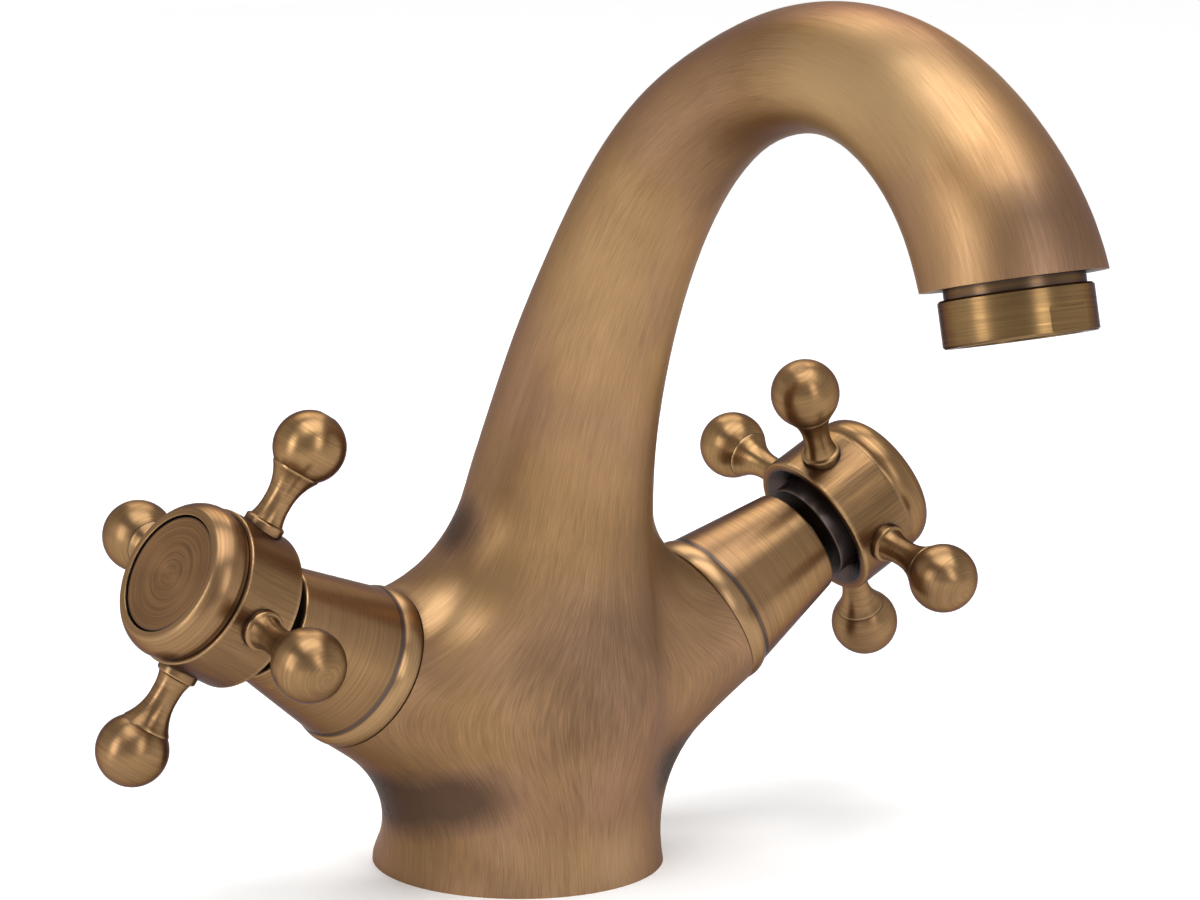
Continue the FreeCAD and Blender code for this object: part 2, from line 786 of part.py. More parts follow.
def spindle(side_name):
    """Turn the stem that drives the moving disc, and cut its splines and screw hole."""
    body = doc.addObject("PartDesign::Body", f"{side_name}_spindle")
    groove = dims.stem_radius - dims.stem_ring_section
    section = dims.stem_ring_section
    foot = dims.moving_disc_end + dims.face_play
    turned(body, "stem", (
        (0.0, foot),
        (dims.stem_foot_width / 2, foot),
        (dims.stem_radius, dims.stem_foot_end),
        (dims.stem_radius, dims.stem_groove_level - section),
        (groove, dims.stem_groove_level - section),
        (groove, dims.stem_groove_level + section),
        (dims.stem_radius, dims.stem_groove_level + section),
        (dims.stem_radius, dims.clip_start),
        (dims.clip_groove_radius, dims.clip_start),
        (dims.clip_groove_radius, dims.clip_start + dims.clip_thickness),
        (dims.stem_radius, dims.clip_start + dims.clip_thickness),
        (dims.stem_radius, dims.stem_end),
        (0.0, dims.stem_end),
    ))
    for name, width, start, end in (
        ("foot", dims.stem_foot_width, foot, dims.stem_foot_end),
        ("tongue", dims.tongue_width, foot - dims.tongue_depth, foot + OVERLAP),
    ):
        bar = sketch_on(body, name, "XY_Plane", at_level(start))
        rectangle(bar, -dims.stem_foot_reach, -width / 2, dims.stem_foot_reach, width / 2)
        pad(body, bar, end - start)
    teeth = sketch_on(body, "teeth", "XY_Plane", at_level(dims.stem_end - OVERLAP))
    outline(teeth, spline_corners(0.0))
    pad(body, teeth, dims.spline_end - dims.stem_end + OVERLAP)
    bottom = at_level(dims.spline_end - dims.screw_hole_depth)
    drill(body, "screw_hole", dims.screw_hole_radius, dims.screw_hole_depth + OVERCUT, bottom)
    return body


def stem_clip(side_name):
    """Cut the open spring clip that holds the stem in the cartridge's neck."""
    body = doc.addObject("PartDesign::Body", f"{side_name}_stem_clip")
    bore = dims.clip_groove_radius + dims.clip_play
    start = dims.clip_start + dims.face_play
    end = dims.clip_start + dims.clip_thickness - dims.face_play
    turned(body, "clip", (
        (bore, start),
        (dims.clip_radius, start),
        (dims.clip_radius, end),
        (bore, end),
    ))
    gap = sketch_on(body, "gap", "XY_Plane", at_level(dims.clip_start - OVERCUT))
    half = dims.clip_opening / 2
    rectangle(gap, -half, dims.clip_opening_start, half, dims.clip_radius + OVERCUT)
    pocket(body, gap, dims.clip_thickness + 2 * OVERCUT, reverse=True)
    return body


def valve_sleeve(side_name):
    """Turn the tapered sleeve, with its rounded collar against the body and a web on the neck."""
    body = doc.addObject("PartDesign::Body", f"{side_name}_valve_sleeve")
    start = dims.branch_end + dims.sleeve_seam
    web = dims.neck_radius + dims.sleeve_web_play
    turned(body, "sleeve", (
        (dims.sleeve_cavity_radius, start),
        (dims.branch_end_radius - dims.collar_ring_edge, start),
        (dims.branch_end_radius, start + dims.collar_ring_edge, dims.collar_ring_bulge),
        (dims.sleeve_base_radius + dims.collar_ring_rise, dims.collar_ring_end - dims.collar_ring_edge),
        (dims.sleeve_base_radius, dims.collar_ring_end),
        (dims.sleeve_tip_radius + dims.sleeve_draft, dims.sleeve_tip - dims.sleeve_edge),
        (dims.sleeve_tip_radius - dims.sleeve_edge, dims.sleeve_tip),
        (web, dims.sleeve_tip),
        (web, dims.sleeve_web_start),
        (dims.sleeve_tip_radius - dims.sleeve_tip_wall, dims.sleeve_web_start),
        (dims.sleeve_cavity_radius, dims.sleeve_cavity_end),
    ))
    return body


# ---------------------------------------------------------------- cross handle

def handle_hub(side_name):
    """Turn the handle's hub: dished back, splined boss, cup for the cap and four spoke sockets."""
    body = doc.addObject("PartDesign::Body", f"{side_name}_handle_hub")
    edge = dims.hub_edge
    turned(body, "hub", (
        (0.0, dims.boss_start),
        (dims.boss_radius - dims.boss_chamfer, dims.boss_start),
        (dims.boss_radius, dims.boss_start + dims.boss_chamfer),
        (dims.boss_radius, dims.dish_floor),
        (dims.dish_floor_radius, dims.dish_floor),
        (dims.dish_radius, dims.hub_back),
        (dims.hub_radius - edge, dims.hub_back),
        (dims.hub_radius, dims.hub_back + edge),
        (dims.hub_radius, dims.hub_front - edge),
        (dims.hub_radius - edge, dims.hub_front),
        (dims.cup_radius, dims.hub_front),
        (dims.cup_radius, dims.cup_floor),
        (0.0, dims.cup_floor),
    ))
    broach = sketch_on(body, "broach", "XY_Plane", at_level(dims.boss_start - OVERCUT))
    outline(broach, spline_corners(dims.spline_play))
    broached = dims.spline_end + dims.spline_end_gap - dims.boss_start
    pocket(body, broach, broached + OVERCUT, reverse=True)
    way = at_level(dims.spline_end - OVERCUT)
    drill(body, "screw_way", dims.screw_hole_radius + dims.screw_way_play, dims.cup_floor, way)
    for number in range(SPOKES_PER_HANDLE):
        socket = spoke_frame(side_name, number) * at_level(dims.spoke_hole_start)
        drill(body, f"spoke_socket_{number + 1}", dims.spoke_hole_radius, dims.hub_radius, socket)
    return body


def spoke_frame(side_name, number):
    """Return a spoke's frame in its handle: its Z runs out along the spoke."""
    first = (dims.left_spoke_turn if side_name == "left" else dims.right_spoke_turn).value
    turn = Rotation(Vector(0, 0, 1), -(first + number * 360.0 / SPOKES_PER_HANDLE))
    lift = Placement(Vector(0, 0, dims.spoke_level.value), turn)
    return lift * Placement(Vector(0, 0, 0), Rotation(Vector(1, 0, 0), -90))


def spoke(side_name, number):
    """Turn one spoke: foot saddled on the hub, waisted neck, sharp lip and ball."""
    body = doc.addObject("PartDesign::Body", f"{side_name}_spoke_{number + 1}")
    seat = dims.hub_radius
    rise = seat + dims.spoke_foot_height
    neck = rise + dims.spoke_neck_step
    turned(body, "spoke", (
        (0.0, seat - dims.spoke_foot_sink),
        (dims.spoke_foot_radius, seat - dims.spoke_foot_sink),
        (dims.spoke_foot_radius, rise - dims.spoke_foot_edge, dims.spoke_foot_edge),
        (dims.spoke_foot_radius - dims.spoke_foot_edge, rise),
        (dims.spoke_waist_radius + dims.spoke_shoulder, neck, -dims.spoke_lower_sweep),
        (dims.spoke_waist_radius, dims.spoke_waist, -dims.spoke_upper_sweep),
        (dims.spoke_lip_radius - dims.spoke_lip_chamfer, dims.spoke_lip - dims.spoke_lip_chamfer),
        (dims.spoke_lip_radius, dims.spoke_lip),
        (dims.spoke_lip_radius, dims.spoke_lip + dims.spoke_lip_edge),
        (0.0, dims.spoke_lip + dims.spoke_lip_edge),
    ))
    ball = body.newObject("PartDesign::AdditiveSphere", "ball")
    ball.setExpression("Radius", dims.ball_radius.text)
    ball.Placement = at_level(dims.ball_reach)
    saddle = body.newObject("PartDesign::SubtractiveCylinder", "saddle")
    saddle.setExpression("Radius", (dims.hub_radius + dims.spoke_saddle_play).text)
    reach = dims.spoke_foot_radius.value + OVERCUT
    saddle.Height = reach * 2
    saddle.Placement = Placement(Vector(0, reach, 0), Rotation(Vector(1, 0, 0), 90))
    tenon = body.newObject("PartDesign::AdditiveCylinder", "tenon")
    tenon.setExpression("Radius", (dims.spoke_hole_radius - dims.spoke_play).text)
    tenon.Height = (dims.hub_radius - dims.spoke_hole_start).value + OVERLAP
    tenon.Placement = at_level(dims.spoke_hole_start + dims.spoke_tenon_play)
    return body


def handle_screw(side_name):
    """Turn the socket-headed screw that holds the handle on its stem."""
    body = doc.addObject("PartDesign::Body", f"{side_name}_handle_screw")
    top = dims.cup_floor + dims.screw_head_height
    turned(body, "screw", (
        (0.0, dims.screw_end),
        (dims.screw_shank_radius, dims.screw_end),
        (dims.screw_shank_radius, dims.cup_floor),
        (dims.screw_head_radius, dims.cup_floor),
        (dims.screw_head_radius, top - dims.screw_head_chamfer),
        (dims.screw_head_radius - dims.screw_head_chamfer, top),
        (0.0, top),
    ))
    socket = hexagon(sketch_on(body, "socket", "XY_Plane", at_level(top)), dims.screw_socket_flats)
    pocket(body, socket, dims.screw_socket_depth)
    return body


def index_cap(side_name):
    """Turn the cap that closes the hub: plug, bulging side, flat rim and bored face."""
    body = doc.addObject("PartDesign::Body", f"{side_name}_index_cap")
    seam = dims.hub_front + dims.cap_seam
    turned(body, "cap", (
        (dims.cap_hollow_radius, dims.cap_plug_start),
        (dims.cap_plug_radius, dims.cap_plug_start),
        (dims.cap_plug_radius, seam),
        (dims.cap_base_radius, seam),
        (dims.cap_base_radius, seam + dims.cap_skirt, dims.cap_skirt_bulge),
        (dims.cap_bulge_radius, dims.cap_bulge_level, dims.cap_shoulder_bulge),
        (dims.cap_rim_radius, dims.cap_face),
        (dims.cap_disc_bore, dims.cap_face),
        (dims.cap_disc_bore, dims.disc_seat_level),
        (dims.cap_hollow_radius, dims.disc_seat_level),
    ))
    return body


def index_disc(side_name):
    """Turn the plain disc set into the cap's face, with a shadow gap round it."""
    body = doc.addObject("PartDesign::Body", f"{side_name}_index_disc")
    face = dims.cap_face - dims.cap_disc_sink
    turned(body, "disc", (
        (0.0, dims.disc_seat_level - dims.cap_disc_tenon_depth),
        (dims.cap_disc_tenon_radius, dims.disc_seat_level - dims.cap_disc_tenon_depth),
        (dims.cap_disc_tenon_radius, dims.disc_seat_level),
        (dims.cap_disc_radius, dims.disc_seat_level),
        (dims.cap_disc_radius, face - dims.cap_disc_edge),
        (dims.cap_disc_radius - dims.cap_disc_edge, face),
        (0.0, face - dims.cap_disc_dish),
    ))
    return body


# ---------------------------------------------------------------- aerator

def aerator_housing():
    """Turn the aerator's threaded housing and mill its two wrench flats."""
    body = doc.addObject("PartDesign::Body", "aerator_housing")
    edge = dims.aerator_edge
    turned(body, "housing", (
        (dims.aerator_bore_radius, -dims.aerator_thread_depth),
        (dims.aerator_thread_radius, -dims.aerator_thread_depth),
        (dims.aerator_thread_radius, dims.aerator_neck_end),
        (dims.aerator_radius - edge, dims.aerator_neck_end),
        (dims.aerator_radius, dims.aerator_neck_end + edge),
        (dims.aerator_radius, dims.aerator_end - edge),
        (dims.aerator_radius - edge, dims.aerator_end),
        (dims.aerator_lip_radius, dims.aerator_end),
        (dims.aerator_lip_radius, dims.aerator_end - dims.aerator_lip_height),
        (dims.aerator_bore_radius, dims.aerator_end - dims.aerator_lip_height),
    ))
    flats = sketch_on(body, "wrench_flats", "XY_Plane", at_level(dims.wrench_flat_start))
    width = dims.wrench_flat_width
    rectangle(flats, -width, dims.wrench_flat_offset, width, dims.aerator_radius + OVERCUT)
    cut = pocket(body, flats, dims.aerator_end - dims.wrench_flat_start + OVERCUT, reverse=True)
    doc.recompute()
    pair = body.newObject("PartDesign::Mirrored", "second_flat")
    pair.Originals = [cut]
    pair.MirrorPlane = (origin_plane(body, "XZ_Plane"), [""])
    body.Tip = pair
    return body


def aerator_insert():
    """Make the moulded insert: a cup whose floor is a square grille."""
    body = doc.addObject("PartDesign::Body", "aerator_insert")
    floor_end = dims.aerator_end - dims.aerator_lip_height - dims.insert_play
    turned(body, "cup", (
        (0.0, floor_end - dims.grille_thickness),
        (dims.insert_radius - dims.insert_wall, floor_end - dims.grille_thickness),
        (dims.insert_radius - dims.insert_wall, dims.insert_start),
        (dims.insert_radius, dims.insert_start),
        (dims.insert_radius, floor_end),
        (0.0, floor_end),
    ))
    half = dims.grille_hole / 2
    reach = (dims.insert_radius - dims.insert_wall).value - half.value * math.sqrt(2)
    holes = sketch_on(body, "grille", "XY_Plane", at_level(floor_end))
    middle = (GRILLE_ROWS - 1) / 2
    for row in range(GRILLE_ROWS):
        for column in range(GRILLE_ROWS):
            x, y = dims.grille_pitch * (column - middle), dims.grille_pitch * (row - middle)
            if math.hypot(x.value, y.value) < reach:
                rectangle(holes, x - half, y - half, x + half, y + half)
    pocket(body, holes, dims.grille_thickness + OVERLAP)
    return body


def aerator_washer():
    """Turn the rubber washer between the spout's shoulder and the aerator."""
    body = doc.addObject("PartDesign::Body", "aerator_washer")
    turned(body, "washer", (
        (dims.washer_bore_radius, -dims.lip_bore_depth + dims.face_play),
        (dims.washer_radius, -dims.lip_bore_depth + dims.face_play),
        (dims.washer_radius, -dims.aerator_thread_depth - dims.face_play),
        (dims.washer_bore_radius, -dims.aerator_thread_depth - dims.face_play),
    ))
    return body


# ---------------------------------------------------------------- assembly

def valve_pieces(side_name):
    """Make every piece that lies on one valve's axis, each with its own extra placement."""
    still = Placement()
    stem_groove = dims.stem_radius - dims.stem_ring_section
    yield cartridge(side_name), still
    yield o_ring(
        f"{side_name}_cartridge_o_ring", dims.thread_radius - dims.body_ring_section - dims.body_ring_play,
        dims.body_ring_section, dims.body_ring_level,
    )
    yield seat_seal(side_name), still
    yield ceramic_disc(side_name, "fixed", dims.fixed_disc_start, dims.disc_seam), still
    yield ceramic_disc(side_name, "moving", dims.disc_seam + dims.face_play, dims.moving_disc_end), still
    yield spindle(side_name), still
    yield o_ring(
        f"{side_name}_stem_o_ring", stem_groove + dims.stem_ring_section / 2,
        dims.stem_ring_section / 2 - dims.body_ring_play, dims.stem_groove_level,
    )
    yield stem_clip(side_name), still
    yield valve_sleeve(side_name), still
    yield handle_hub(side_name), still
    for number in range(SPOKES_PER_HANDLE):
        yield spoke(side_name, number), spoke_frame(side_name, number)
    yield handle_screw(side_name), still
    yield index_cap(side_name), still
    yield index_disc(side_name), still


def assemble():
    """Make every piece and put it in its place; the label of each names its file."""
    pieces = [(tap_body(), Placement()), (base_seal(), Placement())]
    for side_name, side in SIDES.items():
        pieces += [(piece, valve_frame(side) * place) for piece, place in valve_pieces(side_name)]
    pieces += [(make(), LIP_FRAME) for make in (aerator_housing, aerator_insert, aerator_washer)]
    for piece, place in pieces:
        piece.Placement = place
        piece.Label = piece.Name
    return [piece for piece, _ in pieces]


def check(pieces):
    """Stop where an object failed, or a piece is empty, broken or not one solid."""
    for item in doc.Objects:
        if any(state in ("Invalid", "Error") for state in item.State):
            raise RuntimeError(f"{item.Name} failed: {item.State}")
    for piece in pieces:
        shape = piece.Shape
        if shape.isNull() or not shape.isValid() or len(shape.Solids) != 1:
            raise RuntimeError(f"{piece.Label} is not one valid solid")


pieces = assemble()
doc.recompute()
check(pieces)
os.makedirs("parts", exist_ok=True)
for piece in pieces:
    piece.Shape.exportStep(f"parts/{piece.Label}.step")
    print(f"{piece.Label}: {piece.Shape.Volume:.1f} mm3")
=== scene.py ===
"""Studio scene of a two-handle basin mixer tap with cross handles, in brushed antique brass.

Sizes are kept in millimetres and angles in degrees in the dataclass fields, and every mesh is in
metres. A turned piece is spun about the Z axis of its own bench frame, marked with the attributes
that its finish follows (the grain of the brushing, how worn its edges are, and the painted shade
and patina in its grooves), and set in its place.
"""

import logging
import math
from dataclasses import dataclass, field
from enum import Enum
from typing import ClassVar, NamedTuple, Optional, Sequence

import bmesh
import bpy
from mathutils import Matrix, Vector
from mathutils.bvhtree import BVHTree

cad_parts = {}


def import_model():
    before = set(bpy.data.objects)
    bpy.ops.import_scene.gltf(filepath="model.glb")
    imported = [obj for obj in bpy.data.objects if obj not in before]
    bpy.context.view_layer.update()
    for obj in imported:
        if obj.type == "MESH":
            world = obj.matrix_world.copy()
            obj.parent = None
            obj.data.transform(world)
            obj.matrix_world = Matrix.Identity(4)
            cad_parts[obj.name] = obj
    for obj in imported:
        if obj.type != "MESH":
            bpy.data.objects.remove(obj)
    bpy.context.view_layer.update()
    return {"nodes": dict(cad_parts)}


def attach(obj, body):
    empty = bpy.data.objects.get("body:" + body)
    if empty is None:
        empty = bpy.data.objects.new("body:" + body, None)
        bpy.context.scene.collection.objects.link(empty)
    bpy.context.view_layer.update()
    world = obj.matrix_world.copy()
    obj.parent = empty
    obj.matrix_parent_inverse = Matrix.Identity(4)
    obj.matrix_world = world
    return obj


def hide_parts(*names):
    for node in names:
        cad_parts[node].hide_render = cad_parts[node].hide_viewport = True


MM = 0.001
FULL_TURN = 2 * math.pi
NO_LENGTH = 1e-7
CREASE_ANGLE = math.radians(38.0)
BUMP_HEIGHT = 0.02 * MM
LOG = logging.getLogger("cross_handle_tap")
Piece = bpy.types.Object
Shell = bmesh.types.BMesh
Socket = bpy.types.NodeSocket


class Side(Enum):
    """The two valves: left is on -X and right is on +X."""

    LEFT = "left"
    RIGHT = "right"

    @property
    def sign(self) -> int:
        """Return -1 on the left and +1 on the right."""
        return -1 if self is Side.LEFT else 1


class Brushing(Enum):
    """The way in which the fine scratches of the brushing run over a turned piece."""

    ROUND = "round the axis"
    ALONG = "along the axis"


# ---- turned work

@dataclass
class Outline:
    """Half of a turned piece's section: points of (radius, level) in order.

    Each point is marked: up to 1 where polishing and handling brighten a corner, 0 where the
    brushing is even, and down to -1 in grooves and hollows, which get painted shade and the dark
    patina that the brushing didn't reach.
    """

    start: tuple
    step: float = 0.55
    corner_parts: int = 5
    points: list = field(default_factory=list)
    # how worn each point is, and below 0 how much painted shade and patina it gets
    worn: list = field(default_factory=list)

    def __post_init__(self) -> None:
        """Start at the first point."""
        self.add(*self.start)

    def add(self, radius: float, level: float, wear_and_shade: float = 0.0) -> None:
        """Add one point as it is."""
        self.points.append(Vector((radius, level)))
        self.worn.append(wear_and_shade)

    def line(self, radius: float, level: float, wear_and_shade: float = 0.0) -> None:
        """Run straight to a point, with points between so that the finish has detail.

        Args:
            radius: the radius at the end of the line.
            level: the level at the end of the line.
            wear_and_shade: how worn the end point is, and below 0 how much painted shade and patina it gets.
        """
        start, end = self.points[-1], Vector((radius, level))
        parts = max(1, round((end - start).length / self.step))
        for part in range(1, parts):
            self.add(*start.lerp(end, part / parts))
        self.add(radius, level, wear_and_shade)

    def arc(self, radius: float, level: float, bend: float, wear_and_shade: float = 0.0) -> None:
        """Run along the short arc to a point.

        Args:
            radius: the radius at the end of the arc.
            level: the level at the end of the arc.
            bend: the arc's own radius, negative where it turns to the right.
            wear_and_shade: how worn the arc is, and below 0 how much painted shade and patina it gets.
        """
        start, end = self.points[-1], Vector((radius, level))
        chord = end - start
        reach = math.sqrt(max(bend * bend - chord.length_squared / 4, 0.0))
        across = Vector((-chord.y, chord.x)).normalized()
        centre = (start + end) / 2 + across * math.copysign(reach, bend)
        first = start - centre
        sweep = 2 * math.asin(min(1.0, chord.length / 2 / abs(bend)))
        parts = max(3, math.ceil(abs(bend) * sweep / self.step))
        for part in range(1, parts + 1):
            angle = math.copysign(sweep * part / parts, bend)
            turned = Matrix.Rotation(angle, 2) @ first
            self.add(*(centre + turned), wear_and_shade)

    def corner(self, radius: float, level: float, to: tuple, ease: float, wear_and_shade: float = 0.0) -> None:
        """Run straight to a corner that is eased by a small arc before the outline goes on.

        Args:
            radius: the corner's radius.
            level: the corner's level.
            to: the next corner, as (radius, level), that the outline heads for.
            ease: how far before and after the corner the arc starts and ends.
            wear_and_shade: how worn the eased corner is, and below 0 how much painted shade and patina it
                gets.
        """
        place = Vector((radius, level))
        before = place + (self.points[-1] - place).normalized() * ease
        after = place + (Vector(to) - place).normalized() * ease
        self.line(*before)
        for part in range(1, self.corner_parts):
            share = part / self.corner_parts
            bent = before.lerp(place, share).lerp(place.lerp(after, share), share)
            self.add(*bent, wear_and_shade)
        self.add(*after, wear_and_shade)

    def close(self) -> None:
        """Run straight back to the first point, which isn't added again."""
        self.line(*self.start)
        self.points.pop()
        self.worn.pop()

    def wear_and_shade_from(self, first: int, wear_and_shade: float) -> None:
        """Set how worn every point is from one on, counted from the end where that one is negative; below 0
        means painted shade and patina.
        """
        self.worn[first:] = [wear_and_shade] * len(self.worn[first:])


@dataclass(frozen=True)
class TurnedMark:
    """How the marks of a turned piece are laid out for its finish to follow.

    Across is how many marks a millimetre holds, around and along are how often they change as
    they run on, and ends is the share of them that flat ends keep.
    """

    across: float = 3.4
    around: float = 1.3
    along: float = 0.1
    ends: float = 1.0
    brushing: Brushing = Brushing.ROUND


def turn(name: str, outline: Outline, place: Matrix, mark: TurnedMark, steps: int = 128) -> Piece:
    """Spin an outline about Z, keep its grain, its worn edges and painted shade and its unwrapped turn,
    and set it in its place.

    Args:
        name: the new object's name.
        outline: the half section, from the axis or a bore and back to it.
        place: where its bench frame goes, in metres.
        mark: the spacing of the finish's marks.
        steps: how many facets go round.

    Returns:
        The new object, smooth but for its sharper edges.
    """
    shell = bmesh.new()
    chain = [shell.verts.new((point.x * MM, 0.0, point.y * MM)) for point in outline.points]
    edges = [shell.edges.new(pair) for pair in zip(chain, chain[1:])]
    if outline.points[0].x > 0.0:
        edges.append(shell.edges.new((chain[-1], chain[0])))
    bmesh.ops.spin(
        shell, geom=chain + edges, cent=(0, 0, 0), axis=(0, 0, 1), angle=FULL_TURN, steps=steps,
        use_merge=True, use_normal_flip=False, use_duplicate=False,
    )
    bmesh.ops.remove_doubles(shell, verts=shell.verts, dist=NO_LENGTH)
    bmesh.ops.recalc_face_normals(shell, faces=shell.faces)
    mark_grain(shell, mark)
    mark_wear_and_shade(shell, outline)
    unwrap_turn(shell)
    shell.transform(place)
    shell.normal_update()
    for edge in shell.edges:
        edge.smooth = edge.calc_face_angle(0.0) < CREASE_ANGLE
    return hand_over(name, shell)


def mark_grain(shell: Shell, mark: TurnedMark) -> None:
    """Keep on each point a place that varies fast across the marks and slowly along them.

    Args:
        shell: the mesh in its bench frame.
        mark: the spacing of the marks.
    """
    grain = shell.verts.layers.float_vector.new("grain")
    rise = shell.verts.layers.float.new("grain_rise")
    for point in shell.verts:
        x, y, level = (part / MM for part in point.co)
        if mark.brushing is Brushing.ALONG:
            point[grain] = (x * mark.across, y * mark.across, level * mark.along)
        else:
            radius = math.hypot(x, y)
            turn_x, turn_y = (x / radius, y / radius) if radius > NO_LENGTH / MM else (0.0, 0.0)
            point[grain] = (turn_x * mark.around, turn_y * mark.around, radius * mark.across * mark.ends)
            point[rise] = level * mark.across


def mark_wear_and_shade(shell: Shell, outline: Outline) -> None:
    """Keep on each point how worn the outline is there, and below 0 its painted shade and patina.

    Args:
        shell: the mesh in its bench frame.
        outline: the half section that the mesh was spun from.
    """
    wear_and_shade = shell.verts.layers.float.new("wear_and_shade")
    worn = {
        (round(point.x, 2), round(point.y, 2)): amount
        for point, amount in zip(outline.points, outline.worn)
        if amount != 0.0
    }
    for point in shell.verts:
        radius = math.hypot(point.co.x, point.co.y) / MM
        point[wear_and_shade] = worn.get((round(radius, 2), round(point.co.z / MM, 2)), 0.0)


def unwrap_turn(shell: Shell, span: float = 40.0, ends: float = 0.7) -> None:
    """Lay the section along U and the turn along V, so that the sheen stretches across the grooves.

    Args:
        shell: the mesh in its bench frame.
        span: how many millimetres one unit of U covers.
        ends: how far U runs on over flat ends, for each millimetre of radius.
    """
    unwrapped = shell.loops.layers.uv.new("UVMap")
    for face in shell.faces:
        middle = face.calc_center_median()
        centre = math.atan2(middle.y, middle.x)
        for corner in face.loops:
            place = corner.vert.co
            radius = math.hypot(place.x, place.y)
            angle = math.atan2(place.y, place.x) if radius > NO_LENGTH else centre
            swing = (angle - centre + math.pi) % FULL_TURN - math.pi
            corner[unwrapped].uv = ((place.z + radius * ends) / MM / span, (centre + swing) / FULL_TURN)


def hand_over(name: str, shell: Shell) -> Piece:
    """Turn a bmesh into a smooth object in the scene.

    Args:
        name: the object's name.
        shell: the mesh, which is freed.

    Returns:
        The new object.
    """
    mesh = bpy.data.meshes.new(name)
    for face in shell.faces:
        face.smooth = True
    shell.to_mesh(mesh)
    shell.free()
    piece = bpy.data.objects.new(name, mesh)
    bpy.context.scene.collection.objects.link(piece)
    return piece


def fine_copy(node: Piece, longest: float = 2.2, rounds: int = 4) -> Shell:
    """Copy a CAD node as one closed mesh with its true normals, cut finely enough to carry marks.

    Args:
        node: the CAD node.
        longest: the longest edge that is left.
        rounds: how often the longer edges are halved at most.

    Returns:
        The copy, with each corner's normal in the layer "facing".
    """
    shell = bmesh.new()
    shell.from_mesh(node.data)
    shell.faces.ensure_lookup_table()
    facing = shell.loops.layers.float_vector.new("facing")
    normals = node.data.corner_normals
    for face, polygon in zip(shell.faces, node.data.polygons):
        for corner, index in zip(face.loops, polygon.loop_indices):
            corner[facing] = normals[index].vector
    bmesh.ops.remove_doubles(shell, verts=shell.verts, dist=NO_LENGTH)
    for _ in range(rounds):
        long_edges = [edge for edge in shell.edges if edge.calc_length() > longest * MM]
        if not long_edges:
            break
        bmesh.ops.subdivide_edges(shell, edges=long_edges, cuts=1)
        bmesh.ops.triangulate(shell, faces=[face for face in shell.faces if len(face.verts) > 3])
    return shell


def keep_normals(piece: Piece) -> None:
    """Shade a fine copy by the normals that it carried over.

    Args:
        piece: the object made from the copy.
    """
    facing = piece.data.attributes["facing"].data
    piece.data.normals_split_custom_set([corner.vector.normalized() for corner in facing])
    piece.data.attributes.remove(piece.data.attributes["facing"])


def fit(piece: Piece, node: str, body: str, slot: str, materials: dict) -> None:
    """Dress a piece in its slot's finish and let it stand for a CAD node on that node's body.

    Args:
        piece: the object.
        node: the CAD node's name.
        body: the body that carries it.
        slot: the material slot.
        materials: the materials by slot.
    """
    piece.data.materials.append(materials[slot])
    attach(piece, body)
    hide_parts(node)
    LOG.info("%s with %d faces stands for %s", piece.name, len(piece.data.polygons), node)


# ---- places in the tap

def towards(azimuth: float, elevation: float) -> Vector:
    """Return the direction from the tap to a place round it, with its front at azimuth 0."""
    turned, raised = math.radians(azimuth), math.radians(elevation)
    return Vector((
        math.sin(turned) * math.cos(raised), -math.cos(turned) * math.cos(raised), math.sin(raised),
    ))


@dataclass(frozen=True)
class ValveAxis:
    """The line that a valve's pieces are turned about."""

    side: Side
    height: float = 21.0
    lead: float = 2.5
    tilt: float = 29.0
    swing: float = 3.7

    def frame(self) -> Matrix:
        """Work out the valve's frame, where Z runs outwards and Y as nearly up as it can.

        Returns:
            The frame in metres.
        """
        tilt, swing = math.radians(self.tilt), math.radians(self.swing)
        outwards = Vector((
            self.side.sign * math.cos(tilt) * math.cos(swing),
            -math.sin(swing),
            math.sin(tilt) * math.cos(swing),
        ))
        across = Vector((0, 0, 1)).cross(outwards).normalized()
        upwards = outwards.cross(across)
        turned = Matrix((across, upwards, outwards)).transposed().to_4x4()
        return Matrix.Translation(Vector((0, -self.lead, self.height)) * MM) @ turned


@dataclass(frozen=True)
class SpoutLine:
    """The spout's centre line: three tangent arcs, each (radius, angle), in the plane of symmetry."""

    lead: float = 8.7
    height: float = 48.0
    lean: float = 5.6
    arcs: tuple = ((158.0, 29.5), (66.0, 43.2), (47.8, 77.8))
    lip_tilt: float = 13.9

    @property
    def length(self) -> float:
        """Return the length of the centre line."""
        return sum(radius * math.radians(angle) for radius, angle in self.arcs)

    def station(self, distance: float) -> tuple:
        """Follow the centre line.

        Args:
            distance: millimetres along the line from its lower end.

        Returns:
            The y, the z and the lean from upright in radians.
        """
        lean = math.radians(self.lean)
        y, z = -self.lead, self.height
        for radius, angle in self.arcs:
            bend = min(distance / radius, math.radians(angle))
            centre = (y - radius * math.cos(lean), z - radius * math.sin(lean))
            lean += bend
            y = centre[0] + radius * math.cos(lean)
            z = centre[1] + radius * math.sin(lean)
            distance -= bend * radius
        return y, z, lean

    def lip_frame(self) -> Matrix:
        """Work out the frame of the spout's lip, where Z runs out of the mouth.

        Returns:
            The frame in metres.
        """
        y, z, _ = self.station(self.length)
        turned = Matrix.Rotation(math.radians(180.0 - self.lip_tilt), 4, "X")
        return Matrix.Translation(Vector((0, y, z)) * MM) @ turned


# ---- finishes

class Tone(NamedTuple):
    """A colour by its red, green and blue, as linear light, with full cover."""

    red: float
    green: float
    blue: float
    cover: float = 1.0


class Ramp(NamedTuple):
    """How a value is read: from a low to a high end, what these become, and held beyond them."""

    low: float = 0.0
    high: float = 1.0
    to_low: float = 0.0
    to_high: float = 1.0


